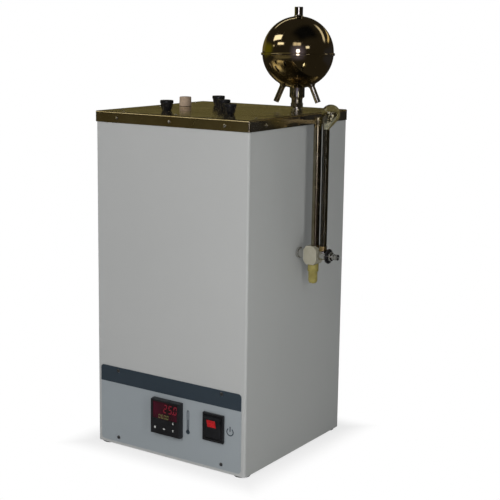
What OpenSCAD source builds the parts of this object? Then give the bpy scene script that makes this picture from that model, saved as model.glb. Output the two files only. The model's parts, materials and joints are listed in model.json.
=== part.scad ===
// Bench bath for flash point work: a painted cabinet with a polished lid pan, stoppered ports,
// a ball condenser on a union nut, a level gauge with a drain block, and a control panel.
// Frame: origin on the bench under the middle of the cabinet, -Y is the front, +Z is up.

/* [Cabinet] */
// Width of the cabinet
body_w = 245; // [235:1:290]
// Depth of the cabinet
body_d = 245; // [235:1:290]
// Height from the cabinet's bottom edge to the top of the lid
total_h = 460.5; // [440:0.5:520]
// Thickness of the painted sheet
sheet = 1.2; // [0.8:0.1:1.6]
// Bend radius of the upright front corners
corner_r = 3; // [2:0.5:5]
// Thickness of the foot pads
foot_h = 2; // [1.5:0.5:5]
// Diameter of the foot pads
foot_d = 22; // [16:1:26]
// Width of the folded returns at the top, bottom and back
return_w = 18; // [16:1:22]

/* [Lid] */
// Thickness of the polished lid sheet
lid_sheet = 1; // [0.8:0.1:1.5]
// Height of the lid's skirt, from its top
skirt_h = 14.6; // [12:0.2:20]
// Bend radius of the lid's edges
lid_r = 2.5; // [1.5:0.5:4]
// Clearance between skirt and cabinet
lid_fit = 0.1; // [0.05:0.05:0.3]
// Distance of the outer screws from the middle of each side
screw_pitch = 86.5; // [70:0.5:95]
// Distance of the top screws from the cabinet's face
screw_inset = 13.5; // [12:0.5:15]
// Height of the skirt screws below the top of the lid
skirt_screw_drop = 8.3; // [7.5:0.1:9]
// Head diameter of the lid screws
lid_screw_head = 4.6; // [4:0.2:6]
// Shank diameter of the lid screws
lid_screw_d = 2.6; // [2:0.2:3]
// Thickness of the gasket under the lid
gasket_t = 1.5; // [1:0.5:2]

/* [Ports and stoppers] */
// Distance of the outer ports from the middle, left to right
port_x = 51; // [45:1:56]
// Distance of the outer ports from the middle, front to back
port_y = 61; // [52:1:64]
// Bore of the ports
port_d = 11.6; // [10:0.2:13]
// Distance of the side port from the left side of the tank
side_port_gap = 12; // [12:1:16]
// Front to back place of the side port
side_port_y = 20.5; // [10:0.5:30]
// Length of the sleeves under the lid
sleeve_l = 13; // [10:1:20]
// Wall of the port sleeves
sleeve_wall = 1.2; // [1:0.1:2]
// Height of a stopper above the lid
stopper_h = 13.8; // [10:0.2:16]
// Diameter of a stopper's collar
stopper_collar_d = 18; // [17.6:0.2:20]
// Height of a stopper's collar
stopper_collar_h = 4; // [3:0.2:5]
// Diameter of a stopper's body under its collar
stopper_top_d = 16.8; // [15:0.2:17.2]
// Diameter of the pale side stopper
side_stopper_d = 17; // [15:0.5:20]
// Height of the pale side stopper above the lid
side_stopper_h = 13.4; // [10:0.2:16]
// Clearance round a stopper's plug, on the radius
plug_fit = 0.05; // [0.03:0.01:0.08]

/* [Bath] */
// Width of the tank, both ways
tank_w = 184; // [180:1:188]
// Thickness of the tank's sheet
tank_wall = 1.2; // [1:0.1:1.6]
// Corner radius of the tank
tank_r = 14; // [8:1:20]
// Height of the drain's axis above the tank floor
drain_rise = 9; // [8:0.5:12]
// Thickness of the insulation under the tank
insulation_t = 22; // [15:1:30]
// Diameter of the tubular heater
heater_d = 8; // [6:0.5:10]
// Spacing of the heater's two legs
heater_gap = 64; // [56:2:66]
// Length of the heater's straight legs
heater_leg = 90; // [70:5:100]
// Height of the heater above the tank floor
heater_rise = 16; // [14:1:20]
// Diameter of the temperature probe
probe_d = 6; // [4:0.5:8]
// Length of the probe above the tank floor
probe_l = 110; // [80:5:130]

/* [Condenser] */
// Distance of the condenser's axis from the right side of the tank
condenser_side_gap = 22; // [20:1:26]
// Distance of the condenser's axis from the back of the tank
condenser_back_gap = 16; // [16:1:18]
// Outer diameter of the ball
ball_d = 98; // [90:1:104]
// Wall of the ball
ball_wall = 1.5; // [1:0.1:2]
// Height of the ball's middle above the lid
ball_rise = 77.6; // [76:0.2:84]
// How far the seam lies below the ball's middle
seam_drop = 2.3; // [0:0.1:4]
// How far the seam stands out of the ball
seam_out = 1.5; // [1:0.1:2.5]
// Height of the seam's bead
seam_h = 3.4; // [3:0.1:5]
// Diameter of the vent tube
vent_d = 11.5; // [9:0.5:14]
// Height of the vent tube's mouth above the ball's middle
vent_rise = 61.4; // [56:0.2:80]
// Diameter of the coolant stubs
stub_d = 7.8; // [5:0.2:9]
// Tilt of the coolant stubs from upright
stub_tilt = 22.7; // [16:0.1:26]
// Turn of the pair of stubs about the upright axis
stub_turn = 17; // [0:1:30]
// Length of a coolant stub
stub_l = 30; // [26:1:31]
// Distance of a stub's foot from the condenser's axis
stub_foot_r = 29.8; // [26:0.2:32]
// Height of a stub's foot above the lid
stub_foot_rise = 9.9; // [9:0.1:12]
// Diameter of the neck under the ball
neck_d = 20.8; // [17:0.2:22]
// Diameter of the neck's waist
waist_d = 15.3; // [13:0.1:16]
// Diameter of the threaded spigot on the lid
spigot_d = 13; // [12:0.2:14]
// Width of the union nut across its corners
union_d = 19.4; // [17:0.2:21]
// Height of the union nut
union_h = 5; // [4:0.2:7]
// Lift of the union nut's foot above the lid
union_rise = 3.4; // [3:0.2:5]

/* [Level gauge and drain] */
// Height of the drain's axis above the cabinet's bottom edge
drain_z = 277.6; // [260:1:285]
// Diameter of the wall bulkhead
bulkhead_d = 14.5; // [13:0.5:16]
// Length of the wall bulkhead outside the cabinet
bulkhead_l = 14; // [12:0.5:18]
// Diameter of the drain pipe
pipe_d = 9; // [8:0.5:10]
// Width of the drain block, left to right
block_w = 18.6; // [17:0.2:24]
// Depth of the drain block, front to back
block_d = 20; // [16:0.5:24]
// Height of the drain block
block_h = 24.4; // [22:0.2:28]
// Size of the chamfers on the drain block's corners
block_chamfer = 5; // [3:0.5:6]
// Diameter of the nozzle's collar
nozzle_top_d = 14.6; // [13:0.2:16]
// Height of the nozzle's collar
nozzle_top_h = 10.6; // [8:0.2:14]
// Diameter of the nozzle
nozzle_d = 12.2; // [10:0.2:13]
// Length of the whole nozzle
nozzle_l = 26.4; // [22:0.2:34]
// Diameter of the gauge barrel
barrel_d = 11.7; // [11:0.1:13]
// Length of the gauge barrel
barrel_l = 18.9; // [18:0.1:24]
// Diameter of the dark washer ring
washer_d = 19.4; // [16:0.2:22]
// Thickness of the dark washer ring
washer_t = 2.4; // [2:0.2:4]
// Diameter of the drain spindle's knob
spindle_d = 7.8; // [7:0.2:9]
// Length of the drain spindle's knob
spindle_l = 8.4; // [7:0.2:14]
// Diameter of the standpipe
standpipe_d = 10.8; // [9:0.2:12]
// Diameter of the sight glass
glass_d = 9; // [8:0.2:10.4]
// Wall of the sight glass
glass_wall = 1.3; // [1:0.1:1.6]
// Distance of the standpipe from the middle of the drain block
standpipe_shift = 2.2; // [0:0.2:2.8]
// Diameter of the sight glass's bulb
bulb_d = 24.6; // [18:0.2:25]
// Clearance between the bulb and the standpipe
bulb_clear = 0.8; // [0.4:0.1:1.4]
// Height of the bulb's middle above the lid
bulb_rise = 3; // [0:0.5:12]

/* [Control panel] */
// Width of the panel plate
panel_w = 233; // [225:1:234]
// Height of the panel plate
panel_h = 107; // [100:1:120]
// Height of the panel's lower edge above the cabinet's bottom edge
panel_z = 4; // [3:0.5:10]
// Thickness of the panel plate
panel_t = 0.8; // [0.6:0.1:1.5]
// Corner radius of the panel plate
panel_r = 5; // [3:0.5:8]
// Height of the dark header strip
header_h = 22.6; // [16:0.2:24]
// Spacing of the panel screws, left to right
panel_screw_x = 172; // [160:1:200]
// Height of the lower panel screws above the panel's lower edge
panel_screw_z = 6.5; // [6:0.5:9]
// Height of the upper panel screws above the lower ones
panel_screw_rise = 95.6; // [90:0.2:96]
// Head diameter of the panel screws
panel_screw_head = 5; // [4:0.2:6]
// Height of the controls' middle above the panel's lower edge
controls_z = 53.8; // [52:0.2:57]

/* [Controller] */
// Width and height of the controller's bezel
bezel_w = 48; // [48:1:50]
// How far the bezel stands out of the panel
bezel_t = 8.4; // [5:0.2:9]
// Taper of the bezel's edge
bezel_taper = 0.6; // [0.4:0.2:2.6]
// Width and height of the controller's case
case_w = 44.6; // [40:0.2:44.8]
// Depth of the controller's case behind the panel
case_l = 74; // [60:1:90]
// Width of the display window
window_w = 40; // [36:1:41]
// Height of the display window
window_h = 23.4; // [20:0.2:24]
// Diameter of the four keys
key_d = 4.6; // [4:0.2:5.2]
// Travel of a key
key_travel = 0.6; // [0.3:0.1:0.9]
// Clearance round a key, on the radius
key_fit = 0.08; // [0.05:0.01:0.1]

/* [Power switch] */
// Place of the switch right of the panel's middle
rocker_x = 74.5; // [70:0.5:80]
// Height of the switch's middle above the controller's
rocker_rise = 1.1; // [0:0.1:3]
// Width of the switch frame
rocker_frame_w = 33; // [31:0.5:36]
// Height of the switch frame
rocker_frame_h = 38; // [36:0.5:42]
// How far the frame stands out of the panel
rocker_frame_t = 3.6; // [3:0.2:5]
// Border of the switch frame
rocker_border = 3; // [2.5:0.1:4]
// Tilt of the paddle to each side
rocker_tilt = 7; // [4:0.5:9]
// Diameter of the paddle's pivot pins
rocker_pin_d = 3; // [2.4:0.2:3.6]

/* [Hidden] */
$fn = 48;

paint = [0.66, 0.68, 0.67];
steel = [0.72, 0.66, 0.50];
bright = [0.80, 0.80, 0.80];
dark = [0.10, 0.10, 0.11];
touch = 0.05;
eps = 0.5;

cab_z = foot_h;
rear_r = 1.5;
lid_z = cab_z + total_h;
lid_under = lid_z - lid_sheet;
gasket_z = lid_under - gasket_t;
lip_z = gasket_z - tank_wall;
cab_top = lip_z;
front_y = -body_d / 2;
back_y = body_d / 2;
side_x = body_w / 2;
inner_w = body_w - 2 * sheet;
inner_d = body_d - 2 * sheet;
skirt_w = body_w + 2 * lid_fit + 2 * lid_sheet;
skirt_d = body_d + 2 * lid_fit + 2 * lid_sheet;
skirt_bottom = lid_z - skirt_h;
screw_z = lid_z - skirt_screw_drop;
screw_row = [-screw_pitch, 0, screw_pitch];
lid_screw_dome = 1.2;
lid_screw_l = 6;

drain_axis_z = cab_z + drain_z;
tank_floor = drain_axis_z - drain_rise;
tank_bottom = tank_floor - tank_wall;
shelf_t = 2;
shelf_top = tank_bottom - insulation_t;
jacket_wall = (min(inner_w, inner_d - 2 * sheet) - tank_w) / 2 - 0.6;
jacket_top = cab_top - 10;

plug_d = port_d - 2 * plug_fit;
side_port_x = side_port_gap - tank_w / 2;
side_port = [side_port_x, side_port_y];
condenser_x = tank_w / 2 - condenser_side_gap;
condenser_y = tank_w / 2 - condenser_back_gap;
outer_ports = [[-port_x, -port_y], [port_x, -port_y], [-port_x, port_y]];
ports = concat(outer_ports, [[0, 0], side_port]);
plug_l = sleeve_l;
stopper_waist = (stopper_h - stopper_collar_h) * 0.45;
stopper_waist_d = stopper_top_d - 1.6;

heater_z = tank_floor + heater_rise;
heater_bend = 12;
heater_y0 = -heater_leg / 2 - 10;
gland_d = 18;
gland_neck_d = 12;
gland_t = 5;
heater_tail = insulation_t + shelf_t + 14;
heater_feet = [[-heater_gap / 2, heater_y0 - heater_bend], [heater_gap / 2, heater_y0 - heater_bend]];
probe_at = [tank_w / 2 - 14, -tank_w / 2 + 14];
floor_glands = concat(heater_feet, [probe_at]);

spigot_top = union_rise + union_h - 3;
spigot_bore = 8;
spigot_tail = 9;
locknut_d = 22;
locknut_t = 4;
union_fit = 0.05;
tail_d = spigot_d - 2;
flange_t = 1;
flange_d = spigot_d - 0.4;
seat_gap = 0.3;
union_top = union_rise + union_h;
waist_h = 5.9;
chamfer_h = 2.4;
ball_r = ball_d / 2;
seam_z = ball_rise - seam_drop;
bulb_r = ball_r - 11;
bulb_shell = 1.2;
neck_r = neck_d / 2;
neck_top = ball_rise - sqrt(pow(ball_r, 2) - pow(neck_r, 2));
neck_bore = 8;
vent_bore = vent_d - 3;

bulkhead_x = side_x;
block_x = bulkhead_x + bulkhead_l;
block_mid = block_x + block_w / 2;
barrel_x = block_x + block_w;
barrel_end = barrel_x + barrel_l;
washer_x = barrel_end - 6.4;
standpipe_x = block_mid + standpipe_shift;
gland_w = glass_d + 1;
glass_x = barrel_x + seat_gap + gland_w / 2;
bulb_z = lid_z + bulb_rise;
bulb_out = standpipe_x + standpipe_d / 2 + bulb_clear + bulb_d / 2 - glass_x;
gland_z = drain_axis_z + barrel_d / 2 + 0.4;
glass_foot = gland_z + 1.5;
glass_gland_top = glass_foot + 5;
nozzle_z = drain_axis_z - block_h / 2;
block_top = drain_axis_z + block_h / 2;
clip_foot = 11;
clip_h = 5;
clip_t = 1;
spindle_fit = 0.05;
spindle_stem_d = 5;
spindle_stem_l = 9;
spindle_gap = 0.3;

panel_y = front_y - panel_t;
panel_bottom = cab_z + panel_z;
panel_top = panel_bottom + panel_h;
header_t = 0.2;
control_z = panel_bottom + controls_z;
bezel_y = panel_y - bezel_t;
window_t = 1.6;
window_z = control_z + bezel_w / 2 - 2.6 - window_h / 2;
key_pocket = 2.4;
key_proud = 0.9;
key_spots = [[-15.6, -14.6], [-0.6, -14.8], [14.2, -4.4], [14.2, -14.6]];
rocker_z = control_z + rocker_rise;
rocker_fit = 0.4;
rocker_pin_fit = 0.05;
rocker_pin_in = 2.2;
rocker_pin_y = panel_y + rocker_pin_in;
rocker_open_w = rocker_frame_w - 2 * rocker_border;
rocker_open_h = rocker_frame_h - 2 * rocker_border;
rocker_w = rocker_open_w - 2 * rocker_fit;
paddle_r = rocker_open_h / 2 - 0.3;
paddle_valley = rocker_pin_in + rocker_frame_t + 0.2;
paddle_slope = tan(rocker_tilt);
paddle_pin_out = 1.2;
switch_w = rocker_open_w + 2;
switch_h = rocker_open_h + 1;
switch_l = 26;
switch_cavity = 7;
lens_at = [-1.2, 6.4];
lens_w = 13.5;
lens_h = 10.5;
lens_t = 1.6;
lens_proud = 0.25;

rear_panel_w = inner_w - 0.2;
rear_inset = 9;
vent_slots = 9;
inlet_x = -62;
inlet_z = cab_z + 52;
inlet_w = 27;
inlet_h = 20;
inlet_l = 28;
inlet_slack = 0.1;
inlet_flange_w = 50;
inlet_flange_h = 24;
inlet_flange_t = 3;
socket_w = 22;
socket_h = 14;
socket_l = 16;
inlet_hole_x = 20;
inlet_hole_d = 3.2;
blade_w = 2;
blade_h = 4;
blade_l = 16;
blade_pitch = 7;
blade_rise = 3;
blade_drop = 2;
blade_back = 20;

// Relay on its finned base, and the row of terminals
fins_x = -75;
fins_y = 45;
fins_w = 60;
fins_d = 50;
fins_base = 5;
fin_h = 18;
fin_t = 2;
fin_pitch = 8;
fin_edge = 1;
fin_count = 8;
relay_x = -68;
relay_y = 20;
relay_w = 45;
relay_d = 24.5;
relay_h = 58;
terminals_x = 10;
terminals_y = 60;
terminals_w = 60;
terminals_d = 22;
terminals_h = 18;
terminal_edge = 7;
terminal_pitch = 11.5;
terminal_floor = 4;
terminal_d = 4.4;
terminal_count = 5;

// Clamp behind the controller
clamp_wall = 1.6;
clamp_l = 16;
clamp_slot_w = 8;
clamp_slot_share = 0.6;

// The frame's origin lies on the bench, under the middle of the whole outline
low_x = -skirt_w / 2 - lid_screw_dome;
high_x = barrel_end + spindle_gap + spindle_l;
low_y = bezel_y - key_proud;
high_y = condenser_y + ball_r + seam_out;
centre = [-(low_x + high_x) / 2, -(low_y + high_y) / 2, 0];

// Rectangle with round corners, centred
module rounded(w, d, r) {
    square([w - 2 * r, d], center = true);
    square([w, d - 2 * r], center = true);
    for (x = [-1, 1], y = [-1, 1]) translate([x * (w / 2 - r), y * (d / 2 - r)]) circle(r);
}

// Outline of the cabinet: front corners bent wide, back corners tight
module cabinet_outline(w, d, front_r, back_r) {
    rounded(w, d, front_r);
    intersection() {
        rounded(w, d, back_r);
        translate([-w / 2, 0]) square([w, d / 2]);
    }
}

// Profile of a folded pan: flat foot, round upper corners, centred left to right
module pan_profile(w, h, r) {
    translate([-w / 2, 0]) square([w, h - r]);
    translate([-w / 2 + r, h - r - touch]) square([w - 2 * r, r + touch]);
    for (x = [-1, 1]) translate([x * (w / 2 - r), h - r]) circle(r);
}

// Solid block with folded upper edges and round upright corners, standing on z = 0
module folded_block(w, d, h, r, upright_r) {
    intersection() {
        translate([0, d / 2, 0]) rotate([90, 0, 0]) linear_extrude(d) pan_profile(w, h, r);
        translate([-w / 2, 0, 0]) rotate([90, 0, 90]) linear_extrude(w) pan_profile(d, h, r);
        linear_extrude(h) rounded(w, d, upright_r);
    }
}

// Cylinder that lies along X from x0, centred on y = 0, z = 0
module bar_x(x0, l, d) {
    translate([x0, 0, 0]) rotate([0, 90, 0]) cylinder(h = l, d = d);
}

// Cylinder that lies along Y from y0
module bar_y(y0, l, d) {
    translate([0, y0, 0]) rotate([-90, 0, 0]) cylinder(h = l, d = d);
}

// Places a child at each screw of the lid's four skirt faces, its axis pointing outwards along +X
module at_skirt_screws() {
    for (p = screw_row) {
        translate([skirt_w / 2, p, screw_z]) children();
        translate([-skirt_w / 2, p, screw_z]) rotate([0, 0, 180]) children();
        translate([p, skirt_d / 2, screw_z]) rotate([0, 0, 90]) children();
        translate([p, -skirt_d / 2, screw_z]) rotate([0, 0, -90]) children();
    }
}

// Places a child at each screw on top of the lid
module at_top_screws() {
    for (p = screw_row, s = [-1, 1]) {
        translate([p, s * (back_y - screw_inset), lid_z]) children();
        translate([s * (side_x - screw_inset), p, lid_z]) children();
    }
}

// Low domed screw head with its shank, standing on z = 0 with the shank below
module domed_screw(head_d, dome_h, shank_d, shank_l) {
    ball = (pow(head_d / 2, 2) + pow(dome_h, 2)) / (2 * dome_h);
    intersection() {
        translate([0, 0, dome_h - ball]) sphere(ball);
        cylinder(h = dome_h + eps, d = head_d);
    }
    translate([0, 0, -shank_l]) cylinder(h = shank_l + touch, d = shank_d);
}

module cabinet_shell() {
    h = cab_top - cab_z;
    color(paint) difference() {
        translate([0, 0, cab_z]) linear_extrude(h) cabinet_outline(body_w, body_d, corner_r, rear_r);
        translate([0, -sheet / 2, cab_z + sheet]) linear_extrude(h - 2 * sheet)
            cabinet_outline(inner_w, inner_d - sheet, corner_r - sheet, 0.3);
        translate([0, 0, cab_z - eps]) linear_extrude(h + 2 * eps)
            square([body_w - 2 * return_w, body_d - 2 * return_w], center = true);
        translate([0, back_y, cab_z + h / 2])
            cube([inner_w - 2 * return_w, 6 * sheet, h - 2 * return_w], center = true);
        translate([0, back_y, cab_z + h / 2]) cube([inner_w, 2 * sheet, h + 2 * eps], center = true);
        at_skirt_screws() bar_x(-6, 6 + eps, lid_screw_d);
        at_top_screws() translate([0, 0, -10]) cylinder(h = 10 + eps, d = lid_screw_d);
        translate([side_x - sheet - eps, 0, drain_axis_z]) bar_x(0, sheet + 2 * eps, pipe_d + 2.4);
        translate([0, front_y, control_z]) cube([case_w, 3 * sheet, case_w], center = true);
        translate([rocker_x, front_y, rocker_z]) cube([switch_w, 3 * sheet, switch_h], center = true);
        at_panel_screws() bar_y(-eps, 4, 2.6);
        at_rear_screws() bar_y(-4 * sheet, 5 * sheet, 2.5);
        at_foot_screws() cylinder(h = 3 * sheet, d = 4, center = true);
    }
}

module at_foot_screws() {
    inset = foot_d / 2 + 1;
    for (x = [-1, 1], y = [-1, 1])
        translate([x * (side_x - inset), y * (back_y - inset - (y > 0 ? sheet : 0)), cab_z]) children();
}

module foot_pads() {
    color("dimgray") at_foot_screws() {
        translate([0, 0, -foot_h]) difference() {
            cylinder(h = foot_h, d = foot_d);
            translate([0, 0, -eps]) cylinder(h = foot_h * 0.4 + eps, d = 8);
        }
        translate([0, 0, -touch]) cylinder(h = sheet + touch, d = 4 - 0.1);
    }
}

// Places a child at each rear screw, on the back panel's outer face
module at_rear_screws() {
    for (x = [-1, 1], f = [0.04, 0.35, 0.66, 0.95])
        translate([x * (rear_panel_w / 2 - rear_inset), back_y, cab_z + f * (cab_top - cab_z)]) children();
}

module back_panel() {
    h = skirt_bottom - cab_z - 1;
    color(paint) difference() {
        translate([-rear_panel_w / 2, back_y - sheet, cab_z]) cube([rear_panel_w, sheet, h]);
        for (row = [0, 1], i = [0 : vent_slots - 1])
            translate([30 + 45 * row, back_y - sheet / 2, cab_z + 60 + 14 * i])
                cube([34, 3 * sheet, 5], center = true);
        translate([inlet_x, back_y, inlet_z]) cube([inlet_w, 4 * sheet, inlet_h], center = true);
        at_rear_screws() bar_y(-3 * sheet, 6 * sheet, 2.6);
    }
}

module rear_screws() {
    color(bright) at_rear_screws() rotate([-90, 0, 0]) domed_screw(5, 1.4, 2.5, 2.2);
}

module base_plate() {
    z = cab_z + sheet;
    color([0.55, 0.57, 0.58]) difference() {
        translate([0, -0.5, z + sheet / 2])
            cube([inner_w - 0.4, inner_d - 1.4 - 2 * sheet, sheet], center = true);
        for (i = [-4 : 4]) translate([12 * i, 0, z]) cube([5, 90, 4 * sheet], center = true);
        at_foot_screws() translate([0, 0, sheet]) cylinder(h = 4 * sheet, d = 8, center = true);
    }
}

module bath_shelf() {
    color([0.62, 0.63, 0.63]) difference() {
        translate([-inner_w / 2, -inner_d / 2, shelf_top - shelf_t])
            cube([inner_w, inner_d - sheet, shelf_t]);
        for (p = floor_glands) translate([p[0], p[1], shelf_top - shelf_t - eps])
            cylinder(h = shelf_t + 2 * eps, d = gland_d + 2);
        for (x = [-1, 1], y = [-1, 1]) translate([x * inner_w / 2, y * inner_d / 2, shelf_top])
            cube([2 * corner_r, 2 * corner_r, 2 * shelf_t + eps], center = true);
    }
}

module port_holes() {
    for (p = ports) translate([p[0], p[1], lid_under - eps]) cylinder(h = lid_sheet + 2 * eps, d = port_d);
}

module lid_pan() {
    color(steel) difference() {
        translate([0, 0, skirt_bottom]) folded_block(skirt_w, skirt_d, skirt_h, lid_r, lid_r);
        translate([0, 0, skirt_bottom - eps])
            folded_block(skirt_w - 2 * lid_sheet, skirt_d - 2 * lid_sheet, skirt_h - lid_sheet + eps,
                lid_r - lid_sheet, lid_r - lid_sheet);
        port_holes();
        translate([condenser_x, condenser_y, lid_under - eps])
            cylinder(h = lid_sheet + 2 * eps, d = spigot_d);
        at_skirt_screws() bar_x(-3 * lid_sheet, 4 * lid_sheet, lid_screw_d);
        at_top_screws() translate([0, 0, -3 * lid_sheet]) cylinder(h = 4 * lid_sheet, d = lid_screw_d);
    }
}

module skirt_screws() {
    color(bright) at_skirt_screws() rotate([0, 90, 0])
        domed_screw(lid_screw_head, lid_screw_dome, lid_screw_d, lid_screw_l - 1);
}

module top_screws() {
    color(bright) at_top_screws()
        domed_screw(lid_screw_head - 0.8, lid_screw_dome, lid_screw_d, lid_screw_l + 1.4);
}

module port_sleeves() {
    color(steel) for (p = ports) translate([p[0], p[1], lid_under - sleeve_l]) difference() {
        cylinder(h = sleeve_l, d = port_d + 2 * sleeve_wall);
        translate([0, 0, -eps]) cylinder(h = sleeve_l + 2 * eps, d = port_d);
    }
}

module lid_gasket() {
    color("dimgray") difference() {
        translate([0, 0, gasket_z]) linear_extrude(gasket_t) rounded(body_w - 4, body_d - 4, corner_r);
        translate([0, 0, gasket_z - eps]) linear_extrude(gasket_t + 2 * eps) rounded(tank_w, tank_w, tank_r);
        at_top_screws() translate([0, 0, -10]) cylinder(h = 12, d = lid_screw_d);
    }
}

module bath_tank() {
    color("silver") difference() {
        union() {
            translate([0, 0, tank_bottom]) linear_extrude(lip_z - tank_bottom + tank_wall)
                rounded(tank_w, tank_w, tank_r);
            translate([0, 0, lip_z]) linear_extrude(tank_wall) rounded(body_w - 1, body_d - 1, corner_r);
        }
        translate([0, 0, tank_floor]) linear_extrude(lip_z - tank_floor + 2 * tank_wall)
            rounded(tank_w - 2 * tank_wall, tank_w - 2 * tank_wall, tank_r - tank_wall);
        translate([0, 0, drain_axis_z]) bar_x(tank_w / 2 - 2 * tank_wall, 4 * tank_wall, pipe_d);
        for (p = floor_glands) translate([p[0], p[1], tank_bottom - eps])
            cylinder(h = tank_wall + 2 * eps, d = gland_neck_d);
        at_top_screws() translate([0, 0, -10]) cylinder(h = 12, d = lid_screw_d);
    }
}

module insulation_jacket() {
    outer = tank_w + 2 * jacket_wall;
    color([0.85, 0.80, 0.55]) difference() {
        translate([0, 0, shelf_top]) linear_extrude(jacket_top - shelf_top) rounded(outer, outer, corner_r);
        translate([0, 0, shelf_top - eps]) linear_extrude(jacket_top - shelf_top + 2 * eps)
            rounded(tank_w, tank_w, tank_r);
        translate([0, 0, drain_axis_z]) bar_x(0, side_x, pipe_d);
    }
}

module insulation_floor() {
    color([0.85, 0.80, 0.55]) difference() {
        translate([0, 0, shelf_top]) linear_extrude(insulation_t) rounded(tank_w, tank_w, tank_r);
        for (p = floor_glands) translate([p[0], p[1], shelf_top - eps])
            cylinder(h = insulation_t + 2 * eps, d = gland_d + 2);
    }
}

module heater_tube() {
    r = heater_gap / 2;
    y1 = heater_y0 + heater_leg;
    color([0.45, 0.42, 0.38]) {
        for (s = [-1, 1]) {
            translate([s * r, 0, heater_z]) bar_y(heater_y0, heater_leg, heater_d);
            translate([s * r, heater_y0, heater_z - heater_bend]) rotate([90, 0, -90])
                rotate_extrude(angle = 90) translate([heater_bend, 0]) circle(d = heater_d);
            translate([s * r, heater_y0 - heater_bend, tank_floor - heater_tail])
                cylinder(h = heater_z - heater_bend - tank_floor + heater_tail, d = heater_d);
        }
        translate([0, y1, heater_z]) rotate_extrude(angle = 180) translate([r, 0]) circle(d = heater_d);
    }
}

// Gland through the tank floor, with its nut below
module floor_gland(bore) {
    difference() {
        union() {
            cylinder(h = 2.5, d = gland_d - 2);
            translate([0, 0, -tank_wall]) cylinder(h = tank_wall, d = gland_neck_d);
            translate([0, 0, -tank_wall - gland_t]) cylinder(h = gland_t, d = gland_d, $fn = 6);
        }
        translate([0, 0, -tank_wall - gland_t - eps]) cylinder(h = gland_t + 5, d = bore);
    }
}

module heater_glands() {
    color("goldenrod") {
        for (p = heater_feet) translate([p[0], p[1], tank_floor]) floor_gland(heater_d);
        translate([probe_at[0], probe_at[1], tank_floor]) floor_gland(probe_d);
    }
}

module probe_sheath() {
    color("silver") translate([probe_at[0], probe_at[1], tank_floor]) {
        translate([0, 0, -heater_tail]) cylinder(h = heater_tail + probe_l - probe_d / 2, d = probe_d);
        translate([0, 0, probe_l - probe_d / 2]) sphere(d = probe_d);
    }
}

module drain_pipe() {
    color("silver") translate([0, 0, drain_axis_z]) difference() {
        bar_x(tank_w / 2 - 4, bulkhead_x + 6 - tank_w / 2 + 4, pipe_d);
        bar_x(tank_w / 2 - 5, bulkhead_x - tank_w / 2 + 20, pipe_d - 2);
    }
}

// Black stopper with a collar, a bowl-shaped body and a straight plug, its seat on z = 0
module stopper() {
    color(dark) difference() {
        union() {
            translate([0, 0, stopper_h - stopper_collar_h]) rotate_extrude() stopper_collar();
            cylinder(h = stopper_waist + touch, d1 = plug_d, d2 = stopper_waist_d);
            translate([0, 0, stopper_waist])
                cylinder(h = stopper_h - stopper_collar_h - stopper_waist + touch, d1 = stopper_waist_d, d2 = stopper_top_d);
            translate([0, 0, 1.5 - plug_l]) cylinder(h = plug_l - 1.5 + touch, d = plug_d);
            translate([0, 0, -plug_l]) cylinder(h = 1.5 + touch, d1 = plug_d - 1.6, d2 = plug_d);
        }
        translate([0, 0, stopper_h - 0.6]) cylinder(h = 1, d = stopper_collar_d - 5);
    }
}

module stopper_collar() {
    r = 0.8;
    square([stopper_collar_d / 2 - r, stopper_collar_h]);
    square([stopper_collar_d / 2, stopper_collar_h - r]);
    translate([stopper_collar_d / 2 - r, stopper_collar_h - r]) circle(r);
}

module stopper_front_left() { translate([-port_x, -port_y, lid_z]) stopper(); }
module stopper_front_right() { translate([port_x, -port_y, lid_z]) stopper(); }
module stopper_back_left() { translate([-port_x, port_y, lid_z]) stopper(); }
module stopper_centre() { translate([0, 0, lid_z]) stopper(); }

module stopper_side() {
    color([0.86, 0.78, 0.66]) translate([side_port_x, side_port_y, lid_z]) {
        translate([0, 0, seat_gap]) cylinder(h = side_stopper_h - 0.6 - seat_gap, d = side_stopper_d);
        translate([0, 0, side_stopper_h - 0.6 - touch])
            cylinder(h = 0.6 + touch, d1 = side_stopper_d, d2 = side_stopper_d - 1.2);
        translate([0, 0, 1 - plug_l]) cylinder(h = plug_l - 1 + 2 * seat_gap, d = plug_d);
        translate([0, 0, -plug_l]) cylinder(h = 1 + touch, d1 = plug_d - 1.6, d2 = plug_d);
    }
}

module at_condenser() { translate([condenser_x, condenser_y, lid_z]) children(); }

module condenser_spigot() {
    color("silver") at_condenser() difference() {
        union() {
            translate([0, 0, -spigot_tail]) cylinder(h = spigot_tail + spigot_top, d = spigot_d);
            cylinder(h = 1.2, d = spigot_d + 5);
            translate([0, 0, -lid_sheet - locknut_t]) cylinder(h = locknut_t, d = locknut_d, $fn = 6);
        }
        translate([0, 0, -spigot_tail - eps]) cylinder(h = spigot_tail + spigot_top + 2 * eps, d = spigot_bore);
    }
}

module union_nut() {
    color(bright) at_condenser() difference() {
        intersection() {
            translate([0, 0, union_rise]) cylinder(h = union_h, d = union_d, $fn = 6);
            translate([0, 0, union_rise + union_h / 2]) sphere(d = union_d + 0.6);
        }
        translate([0, 0, union_rise - eps])
            cylinder(h = spigot_top + flange_t + 2 * seat_gap - union_rise + eps, d = spigot_d + 2 * union_fit);
        translate([0, 0, union_rise]) cylinder(h = union_h + eps, d = tail_d + 2 * union_fit);
    }
}

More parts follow.
